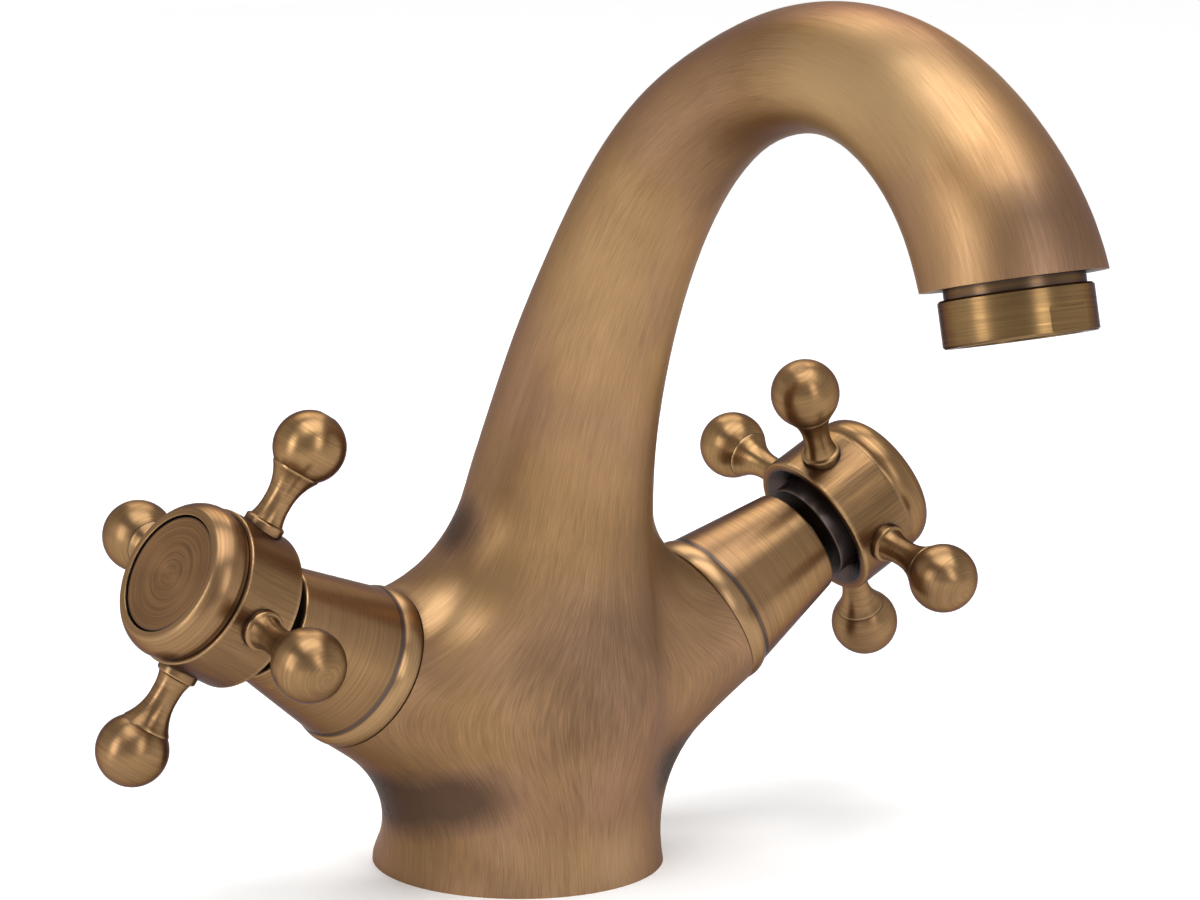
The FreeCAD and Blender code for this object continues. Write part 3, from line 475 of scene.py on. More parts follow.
class NodeBench:
    """A node tree that is built up node by node."""

    def __init__(self, tree: bpy.types.NodeTree) -> None:
        """Work on a tree that already has its output."""
        self.tree = tree

    def add(self, kind: str, **settings: object) -> bpy.types.Node:
        """Add a node and set its own properties.

        Args:
            kind: the node's type.
            settings: its properties by name.

        Returns:
            The node.
        """
        node = self.tree.nodes.new(kind)
        for name, value in settings.items():
            setattr(node, name, value)
        return node

    def hold(self, node: bpy.types.Node, values: dict) -> None:
        """Set the inputs of a node that are the same all over, by their names."""
        for name, value in values.items():
            node.inputs[name].default_value = value

    def join(self, start: Socket, end: Socket) -> None:
        """Link an output to an input."""
        self.tree.links.new(start, end)

    def ramp(self, value: Socket, ramp: Ramp) -> Socket:
        """Map a value from one range to another.

        Args:
            value: the value.
            ramp: how it is read.

        Returns:
            The new value.
        """
        node = self.add("ShaderNodeMapRange")
        self.hold(node, dict(zip(("From Min", "From Max", "To Min", "To Max"), ramp)))
        self.join(value, node.inputs["Value"])
        return node.outputs["Result"]

    def sums(self, operation: str, first: Socket, second: object) -> Socket:
        """Combine two values, or a value and a number.

        Args:
            operation: the sum's name, such as MULTIPLY.
            first: the first value.
            second: the second value or number.

        Returns:
            The result.
        """
        node = self.add("ShaderNodeMath", operation=operation)
        self.join(first, node.inputs[0])
        if isinstance(second, (int, float)):
            node.inputs[1].default_value = second
        else:
            self.join(second, node.inputs[1])
        return node.outputs[0]

    def seen_rays(self) -> Socket:
        """Tell what the camera sees, straight or in metal and glass, from what only lights.

        Returns:
            A value that is 1 for what is seen, and else 0.
        """
        path = self.add("ShaderNodeLightPath")
        seen = path.outputs["Is Camera Ray"]
        for ray in ("Is Glossy Ray", "Is Transmission Ray"):
            seen = self.sums("MAXIMUM", seen, path.outputs[ray])
        return seen


class Shader(NodeBench):
    """A material's nodes, which feed its one surface."""

    def __init__(self, name: str) -> None:
        """Start a material with its surface only."""
        self.material = bpy.data.materials.new(name)
        self.material.use_nodes = True
        super().__init__(self.material.node_tree)
        self.surface = self.tree.nodes["Principled BSDF"]

    def attribute(self, name: str, output: str = "Fac") -> Socket:
        """Return a mesh attribute, as Fac where it is a number and as Vector where it is a place."""
        return self.add("ShaderNodeAttribute", attribute_name=name).outputs[output]

    def place(self) -> Socket:
        """Return the place in the object's own frame."""
        return self.add("ShaderNodeTexCoord").outputs["Object"]

    def feed(self, name: str, value: Socket) -> None:
        """Link a value to one of the surface's inputs."""
        self.join(value, self.surface.inputs[name])

    def noise(
        self, place: Socket, scale: float, detail: float = 3.0, rise: Optional[Socket] = None,
        rough: float = 0.55,
    ) -> Socket:
        """Add a cloud of noise.

        Args:
            place: where it is read.
            scale: how fine it is.
            detail: how many finer layers it has.
            rise: a fourth coordinate, if there is one.
            rough: how strong the finer layers are.

        Returns:
            A value from 0 to 1.
        """
        node = self.add("ShaderNodeTexNoise", noise_dimensions="4D" if rise else "3D")
        self.hold(node, {"Scale": scale, "Detail": detail, "Roughness": rough})
        self.join(place, node.inputs["Vector"])
        if rise:
            self.join(rise, node.inputs["W"])
        return node.outputs["Fac"]

    def mixed(self, first: Socket, second: Socket, share: float) -> Socket:
        """Mix two values, with a share of the second."""
        rest = self.sums("MULTIPLY", first, 1.0 - share)
        return self.sums("ADD", rest, self.sums("MULTIPLY", second, share))

    def blend(self, share: Socket, first: object, second: object, way: str = "MIX") -> Socket:
        """Mix two colours, each a Tone or a socket.

        Args:
            share: how much of the second.
            first: the first colour.
            second: the second colour.
            way: how the second is laid over the first.

        Returns:
            The mixed colour.
        """
        node = self.add("ShaderNodeMix", data_type="RGBA", blend_type=way)
        self.join(share, node.inputs["Factor"])
        for socket, colour in ((node.inputs[6], first), (node.inputs[7], second)):
            if isinstance(colour, Tone):
                socket.default_value = colour
            else:
                self.join(colour, socket)
        return node.outputs[2]

    def emboss(self, height: Socket, strength: float) -> None:
        """Raise the surface's fine texture.

        Args:
            height: how high each place is, from 0 to 1.
            strength: how strongly it shows.
        """
        relief = self.add("ShaderNodeBump")
        self.hold(relief, {"Strength": strength, "Distance": BUMP_HEIGHT})
        self.join(height, relief.inputs["Height"])
        self.feed("Normal", relief.outputs["Normal"])


@dataclass(frozen=True)
class AntiqueBrass:
    """Brass that was darkened and then brushed: golden where worn, brown and grey where it isn't.

    The brushing lightens the patina in fine lines, and hairlines of the patina are left between.
    The finish reads a mesh's attributes: grain and grain_rise, the place across and along the
    marks; polish, painted shade below 0 and painted highlight above 0; wear_and_shade, worn
    and brighter above 0, painted shade and patina below 0; and shade_and_patina, which is up to 1
    where walls stand near and paints shade there, and the patina deeper in.
    """

    WARMTH_BY_PAINTED_LIGHT: ClassVar[Ramp] = Ramp(-1.0, 1.0, 0.2, -0.2)
    HAIRS: ClassVar[tuple] = (0.32, 0.44)
    WARM: ClassVar[tuple] = (0.40, 0.60)
    GRAIN_IN_PAINTED_LIGHT: ClassVar[Ramp] = Ramp(0.3, 0.7, -0.12, 0.12)
    PAINTED_SHADE: ClassVar[Ramp] = Ramp(-1.1, -0.15, 0.92, 0.0)
    PAINTED_HIGHLIGHT: ClassVar[Ramp] = Ramp(0.15, 1.0, 0.0, 0.8)
    RECESS_GRAIN: ClassVar[Ramp] = Ramp(0.3, 0.7, 0.07, -0.07)
    UNWORN_AND_SHADED: ClassVar[Ramp] = Ramp(-1.0, 0.0, 0.8, 0.0)
    PAINTED_RECESS_SHADE: ClassVar[Ramp] = Ramp(0.16, 0.48, 0.0, 0.75)
    RECESS_SHADE_AND_PATINA: ClassVar[Ramp] = Ramp(0.42, 0.80, 0.0, 0.95)
    WEAR_GRAIN: ClassVar[Ramp] = Ramp(0.25, 0.6, 0.3, 0.65)

    name: str
    light: Tone = Tone(0.325, 0.188, 0.075)
    middle: Tone = Tone(0.165, 0.088, 0.036)
    rosy: Tone = Tone(1.0, 0.99, 1.32)
    deep: Tone = Tone(0.090, 0.050, 0.028)
    patina: Tone = Tone(0.080, 0.062, 0.060)
    bright: Tone = Tone(0.48, 0.31, 0.15)
    rim: Tone = Tone(0.16, 0.12, 0.11)
    roughness: float = 0.32
    stretch: float = 0.6
    hairlines: float = 0.2
    hair_scale: float = 1.7
    clouds: float = 0.35
    cloud_scale: float = 38.0
    contrast: float = 0.29
    bands: float = 0.2
    band_scale: float = 0.16
    rosiness: float = 0.35
    rosy_scale: float = 21.0
    lacquer: float = 0.3
    lacquer_roughness: float = 0.38
    relief: float = 0.2

    def make(self) -> bpy.types.Material:
        """Build the finish.

        Returns:
            The material.
        """
        shader = Shader(self.name)
        grain, rise = shader.attribute("grain", "Vector"), shader.attribute("grain_rise")
        polish, wear_and_shade = shader.attribute("polish"), shader.attribute("wear_and_shade")
        fine = shader.noise(grain, 1.0, detail=2.0, rise=rise, rough=0.5)
        broad = shader.noise(grain, self.band_scale, detail=1.0, rise=rise)
        hair = shader.noise(grain, self.hair_scale, detail=1.0, rise=rise)
        cloud = shader.noise(shader.place(), self.cloud_scale, detail=2.0)
        cloud = shader.ramp(cloud, Ramp(0.3, 0.7, -self.clouds / 4, self.clouds / 4))
        brushed = shader.sums("ADD", shader.mixed(fine, broad, self.bands), cloud)
        even = Ramp(0.5 - self.contrast, 0.5 + self.contrast)
        colour = shader.blend(shader.ramp(brushed, even), self.middle, self.light)
        warmth = shader.noise(shader.place(), self.rosy_scale, detail=2.0)
        # The casting's painted light also shifts the warmth: rosier in painted shade, more golden in painted
        # highlight.
        warmth = shader.sums("ADD", warmth, shader.ramp(polish, self.WARMTH_BY_PAINTED_LIGHT))
        warmth = shader.ramp(warmth, Ramp(*self.WARM, 0.0, self.rosiness))
        colour = shader.blend(warmth, colour, self.rosy, "MULTIPLY")
        hair = shader.ramp(hair, Ramp(*self.HAIRS, self.hairlines, 0.0))
        colour = shader.blend(hair, colour, self.deep)
        # Painted light: the casting's patches paint shade towards the deep tone and highlights towards the
        # bright tone.
        polish = shader.sums("ADD", polish, shader.ramp(brushed, self.GRAIN_IN_PAINTED_LIGHT))
        colour = shader.blend(shader.ramp(polish, self.PAINTED_SHADE), colour, self.deep)
        colour = shader.blend(shader.ramp(polish, self.PAINTED_HIGHLIGHT), colour, self.bright)
        # Painted shade where walls stand near, with the patina deeper in the hollows; grooves marked below 0
        # add to it.
        shade_and_patina = shader.sums("ADD", shader.attribute("shade_and_patina"), shader.ramp(brushed, self.RECESS_GRAIN))
        shade_and_patina = shader.sums("ADD", shade_and_patina, shader.ramp(wear_and_shade, self.UNWORN_AND_SHADED))
        colour = shader.blend(shader.ramp(shade_and_patina, self.PAINTED_RECESS_SHADE), colour, self.deep)
        colour = shader.blend(shader.ramp(shade_and_patina, self.RECESS_SHADE_AND_PATINA), colour, self.patina)
        worn = shader.sums("MULTIPLY", shader.ramp(wear_and_shade, Ramp()), shader.ramp(fine, self.WEAR_GRAIN))
        shader.feed("Base Color", shader.blend(worn, colour, self.bright))
        self.sheen(shader, brushed, fine)
        return shader.material

    def sheen(self, shader: Shader, brushed: Socket, fine: Socket) -> None:
        """Give the surface the sheen of brushed metal, stretched along U, under a thin lacquer.

        Args:
            shader: the material's nodes.
            brushed: how much of the patina the brushing took off.
            fine: the finest scratches.
        """
        gloss = Ramp(0.35, 0.7, self.roughness + 0.06, self.roughness - 0.05)
        shader.feed("Roughness", shader.ramp(brushed, gloss))
        shader.hold(shader.surface, {
            "Metallic": 1.0, "Specular Tint": self.rim, "Anisotropic": self.stretch,
            "Coat Weight": self.lacquer, "Coat Roughness": self.lacquer_roughness,
        })
        tangent = shader.add("ShaderNodeTangent", direction_type="UV_MAP", uv_map="UVMap")
        shader.feed("Tangent", tangent.outputs["Tangent"])
        shader.emboss(fine, self.relief)


@dataclass(frozen=True)
class InnerFinish:
    """A plain working surface inside the tap, mottled or turned, with a fine texture."""

    name: str
    base: Tone
    shade: Tone
    metallic: float
    roughness: float
    scale: float = 900.0
    clouds: float = 0.6
    cloud_scale: float = 0.12
    relief: float = 0.15

    def make(self) -> bpy.types.Material:
        """Build the finish.

        Returns:
            The material.
        """
        shader = Shader(self.name)
        place = shader.place()
        fine = shader.noise(place, self.scale)
        cloud = shader.noise(place, self.scale * self.cloud_scale, detail=2.0)
        mottled = shader.ramp(shader.mixed(fine, cloud, self.clouds), Ramp(0.35, 0.65))
        shader.feed("Base Color", shader.blend(mottled, self.base, self.shade))
        gloss = Ramp(0.3, 0.7, self.roughness - 0.06, self.roughness + 0.08)
        shader.feed("Roughness", shader.ramp(fine, gloss))
        shader.hold(shader.surface, {"Metallic": self.metallic})
        shader.emboss(fine, self.relief)
        return shader.material


FINISHES = (
    AntiqueBrass(
        "body_brass", light=Tone(0.375, 0.218, 0.092), middle=Tone(0.200, 0.109, 0.048), roughness=0.41,
        hairlines=0.12, clouds=0.6, contrast=0.34, rosiness=0.9,
    ),
    AntiqueBrass("sleeve_brass", contrast=0.27),
    # The hub and spoke tones are darker: partly more patina, partly painted shade for the darker room that
    # they reflect.
    AntiqueBrass("hub_brass", light=Tone(0.28, 0.160, 0.062), middle=Tone(0.120, 0.063, 0.026)),
    AntiqueBrass("spoke_brass", middle=Tone(0.150, 0.082, 0.032)),
    AntiqueBrass("cap_brass"),
    # The disc's tones are darker still: partly the patina it keeps, partly painted shade for the dark room
    # that it reflects.
    AntiqueBrass(
        "disc_brass", light=Tone(0.31, 0.165, 0.066), middle=Tone(0.110, 0.055, 0.025), stretch=0.8,
        rosiness=0.1,
    ),
    AntiqueBrass(
        "aerator_brass", light=Tone(0.27, 0.158, 0.056), middle=Tone(0.095, 0.052, 0.018), rosiness=0.0,
    ),
    InnerFinish("valve_brass", Tone(0.30, 0.19, 0.08), Tone(0.20, 0.125, 0.055), 1.0, 0.38),
    InnerFinish("spring_steel", Tone(0.20, 0.19, 0.18), Tone(0.12, 0.115, 0.11), 1.0, 0.36),
    InnerFinish("seal_rubber", Tone(0.022, 0.022, 0.023), Tone(0.045, 0.044, 0.043), 0.0, 0.62),
    InnerFinish("insert_plastic", Tone(0.58, 0.58, 0.56), Tone(0.46, 0.46, 0.44), 0.0, 0.45),
    InnerFinish("valve_ceramic", Tone(0.80, 0.79, 0.75), Tone(0.70, 0.69, 0.65), 0.0, 0.16),
)


# ---- cross handle

@dataclass
class CrossHandle:
    """One handle: hub, cap with its disc, and four spokes that end in balls."""

    side: Side
    first_spoke: float
    hub_radius: float = 14.1
    hub_back: float = 70.8
    hub_front: float = 82.6
    hub_edge: float = 0.45
    dish_radius: float = 12.6
    dish_floor: float = 73.2
    dish_edge: float = 0.2
    boss_radius: float = 9.6
    boss_start: float = 68.8
    boss_edge: float = 0.3
    cup_radius: float = 11.5
    cup_floor: float = 78.6
    screw_way: float = 2.6
    cap_seam: float = 0.1
    cap_base_radius: float = 13.3
    cap_base_edge: float = 0.15
    cap_skirt: float = 0.6
    cap_skirt_bend: float = 2.4
    cap_bulge_radius: float = 13.75
    cap_bulge: float = 84.6
    cap_shoulder_bend: float = 4.6
    cap_rim_radius: float = 11.6
    cap_face: float = 88.7
    cap_plug_radius: float = 11.42
    cap_plug_start: float = 79.4
    cap_hollow: float = 8.8
    disc_bore: float = 10.45
    disc_bore_edge: float = 0.12
    disc_seat: float = 86.2
    disc_radius: float = 10.2
    disc_edge: float = 0.2
    disc_sink: float = 0.35
    disc_dish: float = 0.15
    disc_centre: float = 0.5
    disc_lift: float = 0.02
    tenon_play: float = 0.05
    tenon_depth: float = 1.5
    spoke_level: float = 76.4
    spoke_steps: int = 72
    foot_radius: float = 3.6
    foot_rise: float = 1.1
    foot_edge: float = 0.35
    foot_sink: float = 1.2
    foot_chamfer: float = 0.6
    shoulder_aim: tuple = (0.4, 0.2)
    shoulder: tuple = (0.5, 0.25)
    waist_radius: float = 2.5
    waist: float = 18.8
    lower_bend: float = 9.0
    upper_bend: float = 9.5
    lip_radius: float = 4.35
    lip: float = 24.9
    lip_edge: float = 0.45
    lip_chamfer: tuple = (0.15, 0.25)
    ball_step: float = 0.35
    ball_radius: float = 6.3
    ball_reach: float = 29.7
    ball_flat: float = 1.5
    ball_flat_rise: float = 0.02
    spokes: int = 4

    @property
    def axis(self) -> Matrix:
        """Return the handle's frame."""
        return ValveAxis(self.side).frame()

    def named(self, piece: str) -> str:
        """Return the name of this side's piece."""
        return f"{self.side.value}_{piece}"

    def hub(self) -> Piece:
        """Turn the hub: dished back, boss, bright edges and the cup for the cap.

        Returns:
            The hub in its place.
        """
        outline = Outline((self.screw_way, self.boss_start))
        outline.corner(self.boss_radius, self.boss_start, (self.boss_radius, self.dish_floor), self.boss_edge)
        outline.line(self.boss_radius, self.dish_floor)
        outline.corner(self.dish_radius, self.hub_back, (self.hub_radius, self.hub_back), self.dish_edge)
        # The dish and boss behind the hub: painted shade and patina.
        outline.wear_and_shade_from(0, -0.7)
        front = (self.hub_radius, self.hub_front)
        outline.corner(self.hub_radius, self.hub_back, front, self.hub_edge, wear_and_shade=0.7)
        outline.corner(*front, (self.cup_radius, self.hub_front), self.hub_edge, wear_and_shade=0.5)
        outline.line(self.cup_radius, self.hub_front)
        outline.line(self.cup_radius, self.cup_floor)
        outline.line(self.screw_way, self.cup_floor)
        return turn(self.named("hub_shell"), outline, self.axis, TurnedMark(brushing=Brushing.ALONG))

    def cap(self) -> Piece:
        """Turn the cap: plug, bulging side, bright rim and bored face.

        Returns:
            The cap in its place.
        """
        seam = self.hub_front + self.cap_seam
        skirt = (self.cap_base_radius, seam + self.cap_skirt)
        seat = (self.disc_bore, self.disc_seat)
        outline = Outline((self.cap_hollow, self.cap_plug_start), step=0.4)
        outline.line(self.cap_plug_radius, self.cap_plug_start)
        outline.line(self.cap_plug_radius, seam)
        outline.corner(self.cap_base_radius, seam, skirt, self.cap_base_edge, wear_and_shade=0.5)
        outline.line(*skirt)
        outline.arc(self.cap_bulge_radius, self.cap_bulge, self.cap_skirt_bend)
        outline.arc(self.cap_rim_radius, self.cap_face, self.cap_shoulder_bend)
        outline.wear_and_shade_from(-2, 0.4)
        outline.corner(self.disc_bore, self.cap_face, seat, self.disc_bore_edge, wear_and_shade=0.2)
        bore = len(outline.points)
        outline.line(*seat)
        outline.line(self.cap_hollow, self.disc_seat)
        # The bore under the disc: painted shade and patina.
        outline.wear_and_shade_from(bore, -0.8)
        return turn(self.named("cap_shell"), outline, self.axis, TurnedMark(across=4.5, around=0.6))

    def disc(self) -> Piece:
        """Turn the plain disc that is sunk into the cap's face.

        Returns:
            The disc in its place.
        """
        face = self.cap_face - self.disc_sink
        dished = face - self.disc_dish
        seat = self.disc_seat + self.disc_lift
        tenon_radius = self.cap_hollow - self.tenon_play
        outline = Outline((0.0, self.disc_seat - self.tenon_depth), step=0.3)
        outline.line(tenon_radius, self.disc_seat - self.tenon_depth)
        outline.line(tenon_radius, seat)
        outline.line(self.disc_radius, seat)
        # The disc's edge by its gap: painted shade and patina.
        outline.corner(self.disc_radius, face, (0.0, dished), self.disc_edge, wear_and_shade=-0.5)
        outline.line(self.disc_centre, dished)
        # The very centre of the disc is darker.
        outline.line(0.0, dished, wear_and_shade=-0.6)
        return turn(self.named("disc_face"), outline, self.axis, TurnedMark(across=4.0, around=0.5))

    def spoke(self, number: int) -> Piece:
        """Turn one spoke: foot on the hub, waisted neck, sharp lip and ball.

        Args:
            number: which of the spokes, from 0.

        Returns:
            The spoke in its place.
        """
        start, rise = self.hub_radius - self.foot_sink, self.hub_radius + self.foot_rise
        aim = (self.waist_radius + self.shoulder_aim[0], rise + self.shoulder_aim[1])
        outline = Outline((0.0, start), step=0.4)
        outline.line(self.foot_radius - self.foot_chamfer, start)
        outline.line(self.foot_radius, self.hub_radius - self.foot_chamfer)
        outline.corner(self.foot_radius, rise, aim, self.foot_edge, wear_and_shade=0.3)
        outline.line(self.waist_radius + self.shoulder[0], rise + self.shoulder[1])
        outline.arc(self.waist_radius, self.waist, -self.lower_bend)
        outline.arc(self.lip_radius - self.lip_chamfer[0], self.lip - self.lip_chamfer[1], -self.upper_bend)
        outline.line(self.lip_radius, self.lip, wear_and_shade=0.5)
        outline.line(self.lip_radius, self.lip + self.lip_edge, wear_and_shade=0.3)
        root_radius = self.lip_radius - self.ball_step
        root = self.ball_reach - math.sqrt(self.ball_radius ** 2 - root_radius ** 2)
        # The groove at the ball's root: painted shade and patina.
        outline.add(root_radius, root, wear_and_shade=-1.0)
        end = self.ball_reach + math.sqrt(self.ball_radius ** 2 - self.ball_flat ** 2)
        outline.arc(self.ball_radius, self.ball_reach, self.ball_radius)
        outline.arc(self.ball_flat, end, self.ball_radius)
        outline.line(0.0, end + self.ball_flat_rise)
        swing = Matrix.Rotation(-math.radians(self.first_spoke + number * 360.0 / self.spokes), 4, "Z")
        lift = Matrix.Translation((0, 0, self.spoke_level * MM))
        place = self.axis @ lift @ swing @ Matrix.Rotation(-math.pi / 2, 4, "X")
        name = self.named(f"spoke_shell_{number + 1}")
        return turn(name, outline, place, TurnedMark(across=5.5, around=0.7), self.spoke_steps)

    def build(self, materials: dict) -> list:
        """Build the handle's pieces, put them in place and dress them.

        Args:
            materials: the materials by slot.

        Returns:
            The new pieces.
        """
        pieces = [
            (self.hub(), "handle_hub", "hub_brass"),
            (self.cap(), "index_cap", "cap_brass"),
            (self.disc(), "index_disc", "disc_brass"),
        ]
        for number in range(self.spokes):
            pieces.append((self.spoke(number), f"spoke_{number + 1}", "spoke_brass"))
        for piece, node, slot in pieces:
            fit(piece, self.named(node), self.named("handle"), slot, materials)
        return [piece for piece, _, _ in pieces]


@dataclass
class ValveSleeve:
    """The tapered sleeve over a valve, with its rounded collar against the body."""

    side: Side
    seam: float = 42.1
    mouth_radius: float = 12.2
    collar_radius: float = 14.6
    collar_edge: float = 0.3
    collar_edge_bend: float = 0.35
    collar_bulge: float = 4.6
    collar_end: float = 46.2
    groove_rise: float = 0.12
    groove_lead: float = 0.3
    groove_depth: float = 0.09
    groove_run: float = 0.5
    base_radius: float = 13.8
    tip_radius: float = 10.3
    tip: float = 66.2
    tip_wall: float = 1.0
    edge: float = 0.5
    neck_radius: float = 7.46
    web_start: float = 61.0
    hex_clearance: float = 50.0

    def build(self, materials: dict) -> list:
        """Turn the sleeve, put it in place and dress it.

        Args:
            materials: the materials by slot.

        Returns:
            The new piece in a list.
        """
        outline = Outline((self.mouth_radius, self.seam), step=0.45)
        outline.line(self.collar_radius - self.collar_edge, self.seam)
        outline.arc(self.collar_radius, self.seam + self.collar_edge, self.collar_edge_bend, wear_and_shade=0.4)
        groove = (self.base_radius + self.groove_rise, self.collar_end - self.groove_lead)
        outline.arc(*groove, self.collar_bulge, wear_and_shade=0.6)
        # The groove behind the collar: painted shade and patina.
        outline.wear_and_shade_from(-1, -0.6)
        outline.line(self.base_radius, self.collar_end, wear_and_shade=-1.0)
        outline.add(self.base_radius - self.groove_depth, self.collar_end + self.groove_run, wear_and_shade=-0.6)
        outline.corner(self.tip_radius, self.tip, (self.neck_radius, self.tip), self.edge, wear_and_shade=0.3)
        mouth = len(outline.points)
        outline.line(self.neck_radius, self.tip)
        outline.line(self.neck_radius, self.web_start)
        outline.line(self.tip_radius - self.tip_wall, self.web_start)
        outline.line(self.mouth_radius, self.hex_clearance)
        outline.close()
        # The inside of the sleeve from its mouth on: painted shade and patina.
        outline.wear_and_shade_from(mouth, -0.8)
        name = f"{self.side.value}_sleeve_shell"
        sleeve = turn(name, outline, ValveAxis(self.side).frame(), TurnedMark(across=4.5, around=0.5))
        fit(sleeve, f"{self.side.value}_valve_sleeve", "body", "sleeve_brass", materials)
        return [sleeve]


# ---- body and spout

@dataclass(frozen=True)
class PaintedLightPatch:
    """A soft patch on both sides of the casting: painted highlight above 0, painted shade (partly patina)
    below.
    """

    place: tuple
    size: tuple
    amount: float

    def at(self, point: Vector) -> float:
        """Work out a point's painted light: highlight above 0, shade below.

        Args:
            point: the point in millimetres.

        Returns:
            The painted light, below zero where the point gets painted shade.
        """
        offsets = (abs(point.x) - self.place[0], point.y - self.place[1], point.z - self.place[2])
        away = sum((offset / size) ** 2 for offset, size in zip(offsets, self.size))
        return self.amount * max(0.0, 1.0 - away) ** 1.5


@dataclass
class BodyCasting:
    """The casting: foot, shoulders, two branches and the swan-neck spout.

    Its grain fans out from the column over the shoulders. Across is how many marks go round it in
    a radian, and along is how often they change in a millimetre.
    """

    line: SpoutLine = field(default_factory=SpoutLine)
    stations: int = 240
    shoulder_level: float = 33.0
    shoulder_rise: float = 15.0
    shoulder_spread: float = 24.0
    column_half_width: float = 17.0
    fan_reach: float = 20.0
    across: float = 140.0
    along: float = 0.2
    unwrap_span: float = 100.0
    # Patches of painted light: below 0 painted shade, partly standing for patina, above 0 painted highlight.
    patches: tuple = (
        PaintedLightPatch((28.0, 0.0, 17.0), (19.0, 28.0, 10.5), -1.5),
        PaintedLightPatch((21.0, -18.0, 18.0), (13.0, 10.0, 9.0), -0.7),
        PaintedLightPatch((19.0, -8.0, 65.0), (8.0, 8.0, 7.5), -1.2),
        PaintedLightPatch((0.0, -27.0, 44.0), (28.0, 17.0, 32.0), -0.7),
        PaintedLightPatch((2.0, -143.0, 133.0), (16.0, 14.0, 20.0), -0.6),
        PaintedLightPatch((0.0, -50.0, 124.0), (9.0, 24.0, 24.0), -0.4),
        PaintedLightPatch((11.0, -104.0, 150.0), (16.0, 36.0, 18.0), 1.0),
        PaintedLightPatch((9.0, -36.0, 112.0), (13.0, 26.0, 34.0), 0.45),
        PaintedLightPatch((0.0, -24.0, 5.0), (30.0, 16.0, 11.0), 0.5),
        PaintedLightPatch((27.0, -14.0, 52.0), (12.0, 12.0, 9.0), 0.5),
    )

    def fan(self, level: float) -> float:
        """Return how many times wider than on the column the grain is spread at a level."""
        lift = (level - self.shoulder_level) / self.shoulder_rise
        return 1.0 + self.shoulder_spread / self.column_half_width * math.exp(-lift * lift)

    def flow(self, place: Vector, stations: Sequence[tuple]) -> tuple:
        """Follow the brushing: how far round the casting a point is, and how far along.

        Args:
            place: the point in millimetres.
            stations: places along the spout's centre line.

        Returns:
            The turn round the line in radians, and the distance along it in millimetres.
        """
        if place.z < self.line.height:
            share = max(place.z, 0.0) / self.line.height
            lean = math.radians(self.line.lean) * share
            ahead = -(place.y + self.line.lead * share)
            below = (place.z - self.line.height) * math.cos(lean)
            turned = math.atan2(place.x / self.fan(place.z), ahead * math.cos(lean))
            return turned, below + ahead * math.sin(lean)
        nearest = min(stations, key=lambda spot: (spot[1] - place.y) ** 2 + (spot[2] - place.z) ** 2)
        distance, y, z, lean = nearest
        forward = -(place.y - y) * math.cos(lean) - (place.z - z) * math.sin(lean)
        beyond = -(place.y - y) * math.sin(lean) + (place.z - z) * math.cos(lean)
        fan = self.fan(place.z) if distance < self.fan_reach else 1.0
        return math.atan2(place.x / fan, forward), distance + beyond

    def build(self, node: Piece, materials: dict) -> list:
        """Copy the casting, mark the flow of its brushing and dress it.

        Args:
            node: the CAD node.
            materials: the materials by slot.

        Returns:
            The new piece in a list.
        """
        shell = fine_copy(node)
        distances = [self.line.length * step / self.stations for step in range(self.stations + 1)]
        stations = [(distance, *self.line.station(distance)) for distance in distances]
        grain = shell.verts.layers.float_vector.new("grain")
        polish = shell.verts.layers.float.new("polish")
        flows = {}
        for point in shell.verts:
            turned, distance = self.flow(point.co / MM, stations)
            flows[point.index] = (turned, distance)
            point[grain] = (
                math.cos(turned) * self.across, math.sin(turned) * self.across, distance * self.along,
            )
            point[polish] = sum(patch.at(point.co / MM) for patch in self.patches)
        unwrapped = shell.loops.layers.uv.new("UVMap")
        for face in shell.faces:
            first = flows[face.verts[0].index][0]
            for corner in face.loops:
                turned, distance = flows[corner.vert.index]
                swing = (turned - first + math.pi) % FULL_TURN - math.pi
                corner[unwrapped].uv = ((first + swing) / FULL_TURN, distance / self.unwrap_span)
        piece = hand_over("casting", shell)
        keep_normals(piece)
        fit(piece, "tap_body", "body", "body_brass", materials)
        return [piece]


@dataclass
class Aerator:
    """The aerator's housing, with its wrench flats."""

    line: SpoutLine = field(default_factory=SpoutLine)
    longest_edge: float = 0.8
    mark: TurnedMark = TurnedMark(across=4.5, around=0.8, ends=0.0)

    def build(self, node: Piece, materials: dict) -> list:
        """Copy the housing, mark its turning and dress it.

        Args:
            node: the CAD node.
            materials: the materials by slot.

        Returns:
            The new piece in a list.
        """
        shell = fine_copy(node, self.longest_edge)
        bench = self.line.lip_frame()
        shell.transform(bench.inverted())
        mark_grain(shell, self.mark)
        unwrap_turn(shell)
        shell.transform(bench)
        piece = hand_over("aerator_shell", shell)
        keep_normals(piece)
        fit(piece, "aerator_housing", "body", "aerator_brass", materials)
        return [piece]


# ---- painted shade and patina in recesses, and working parts

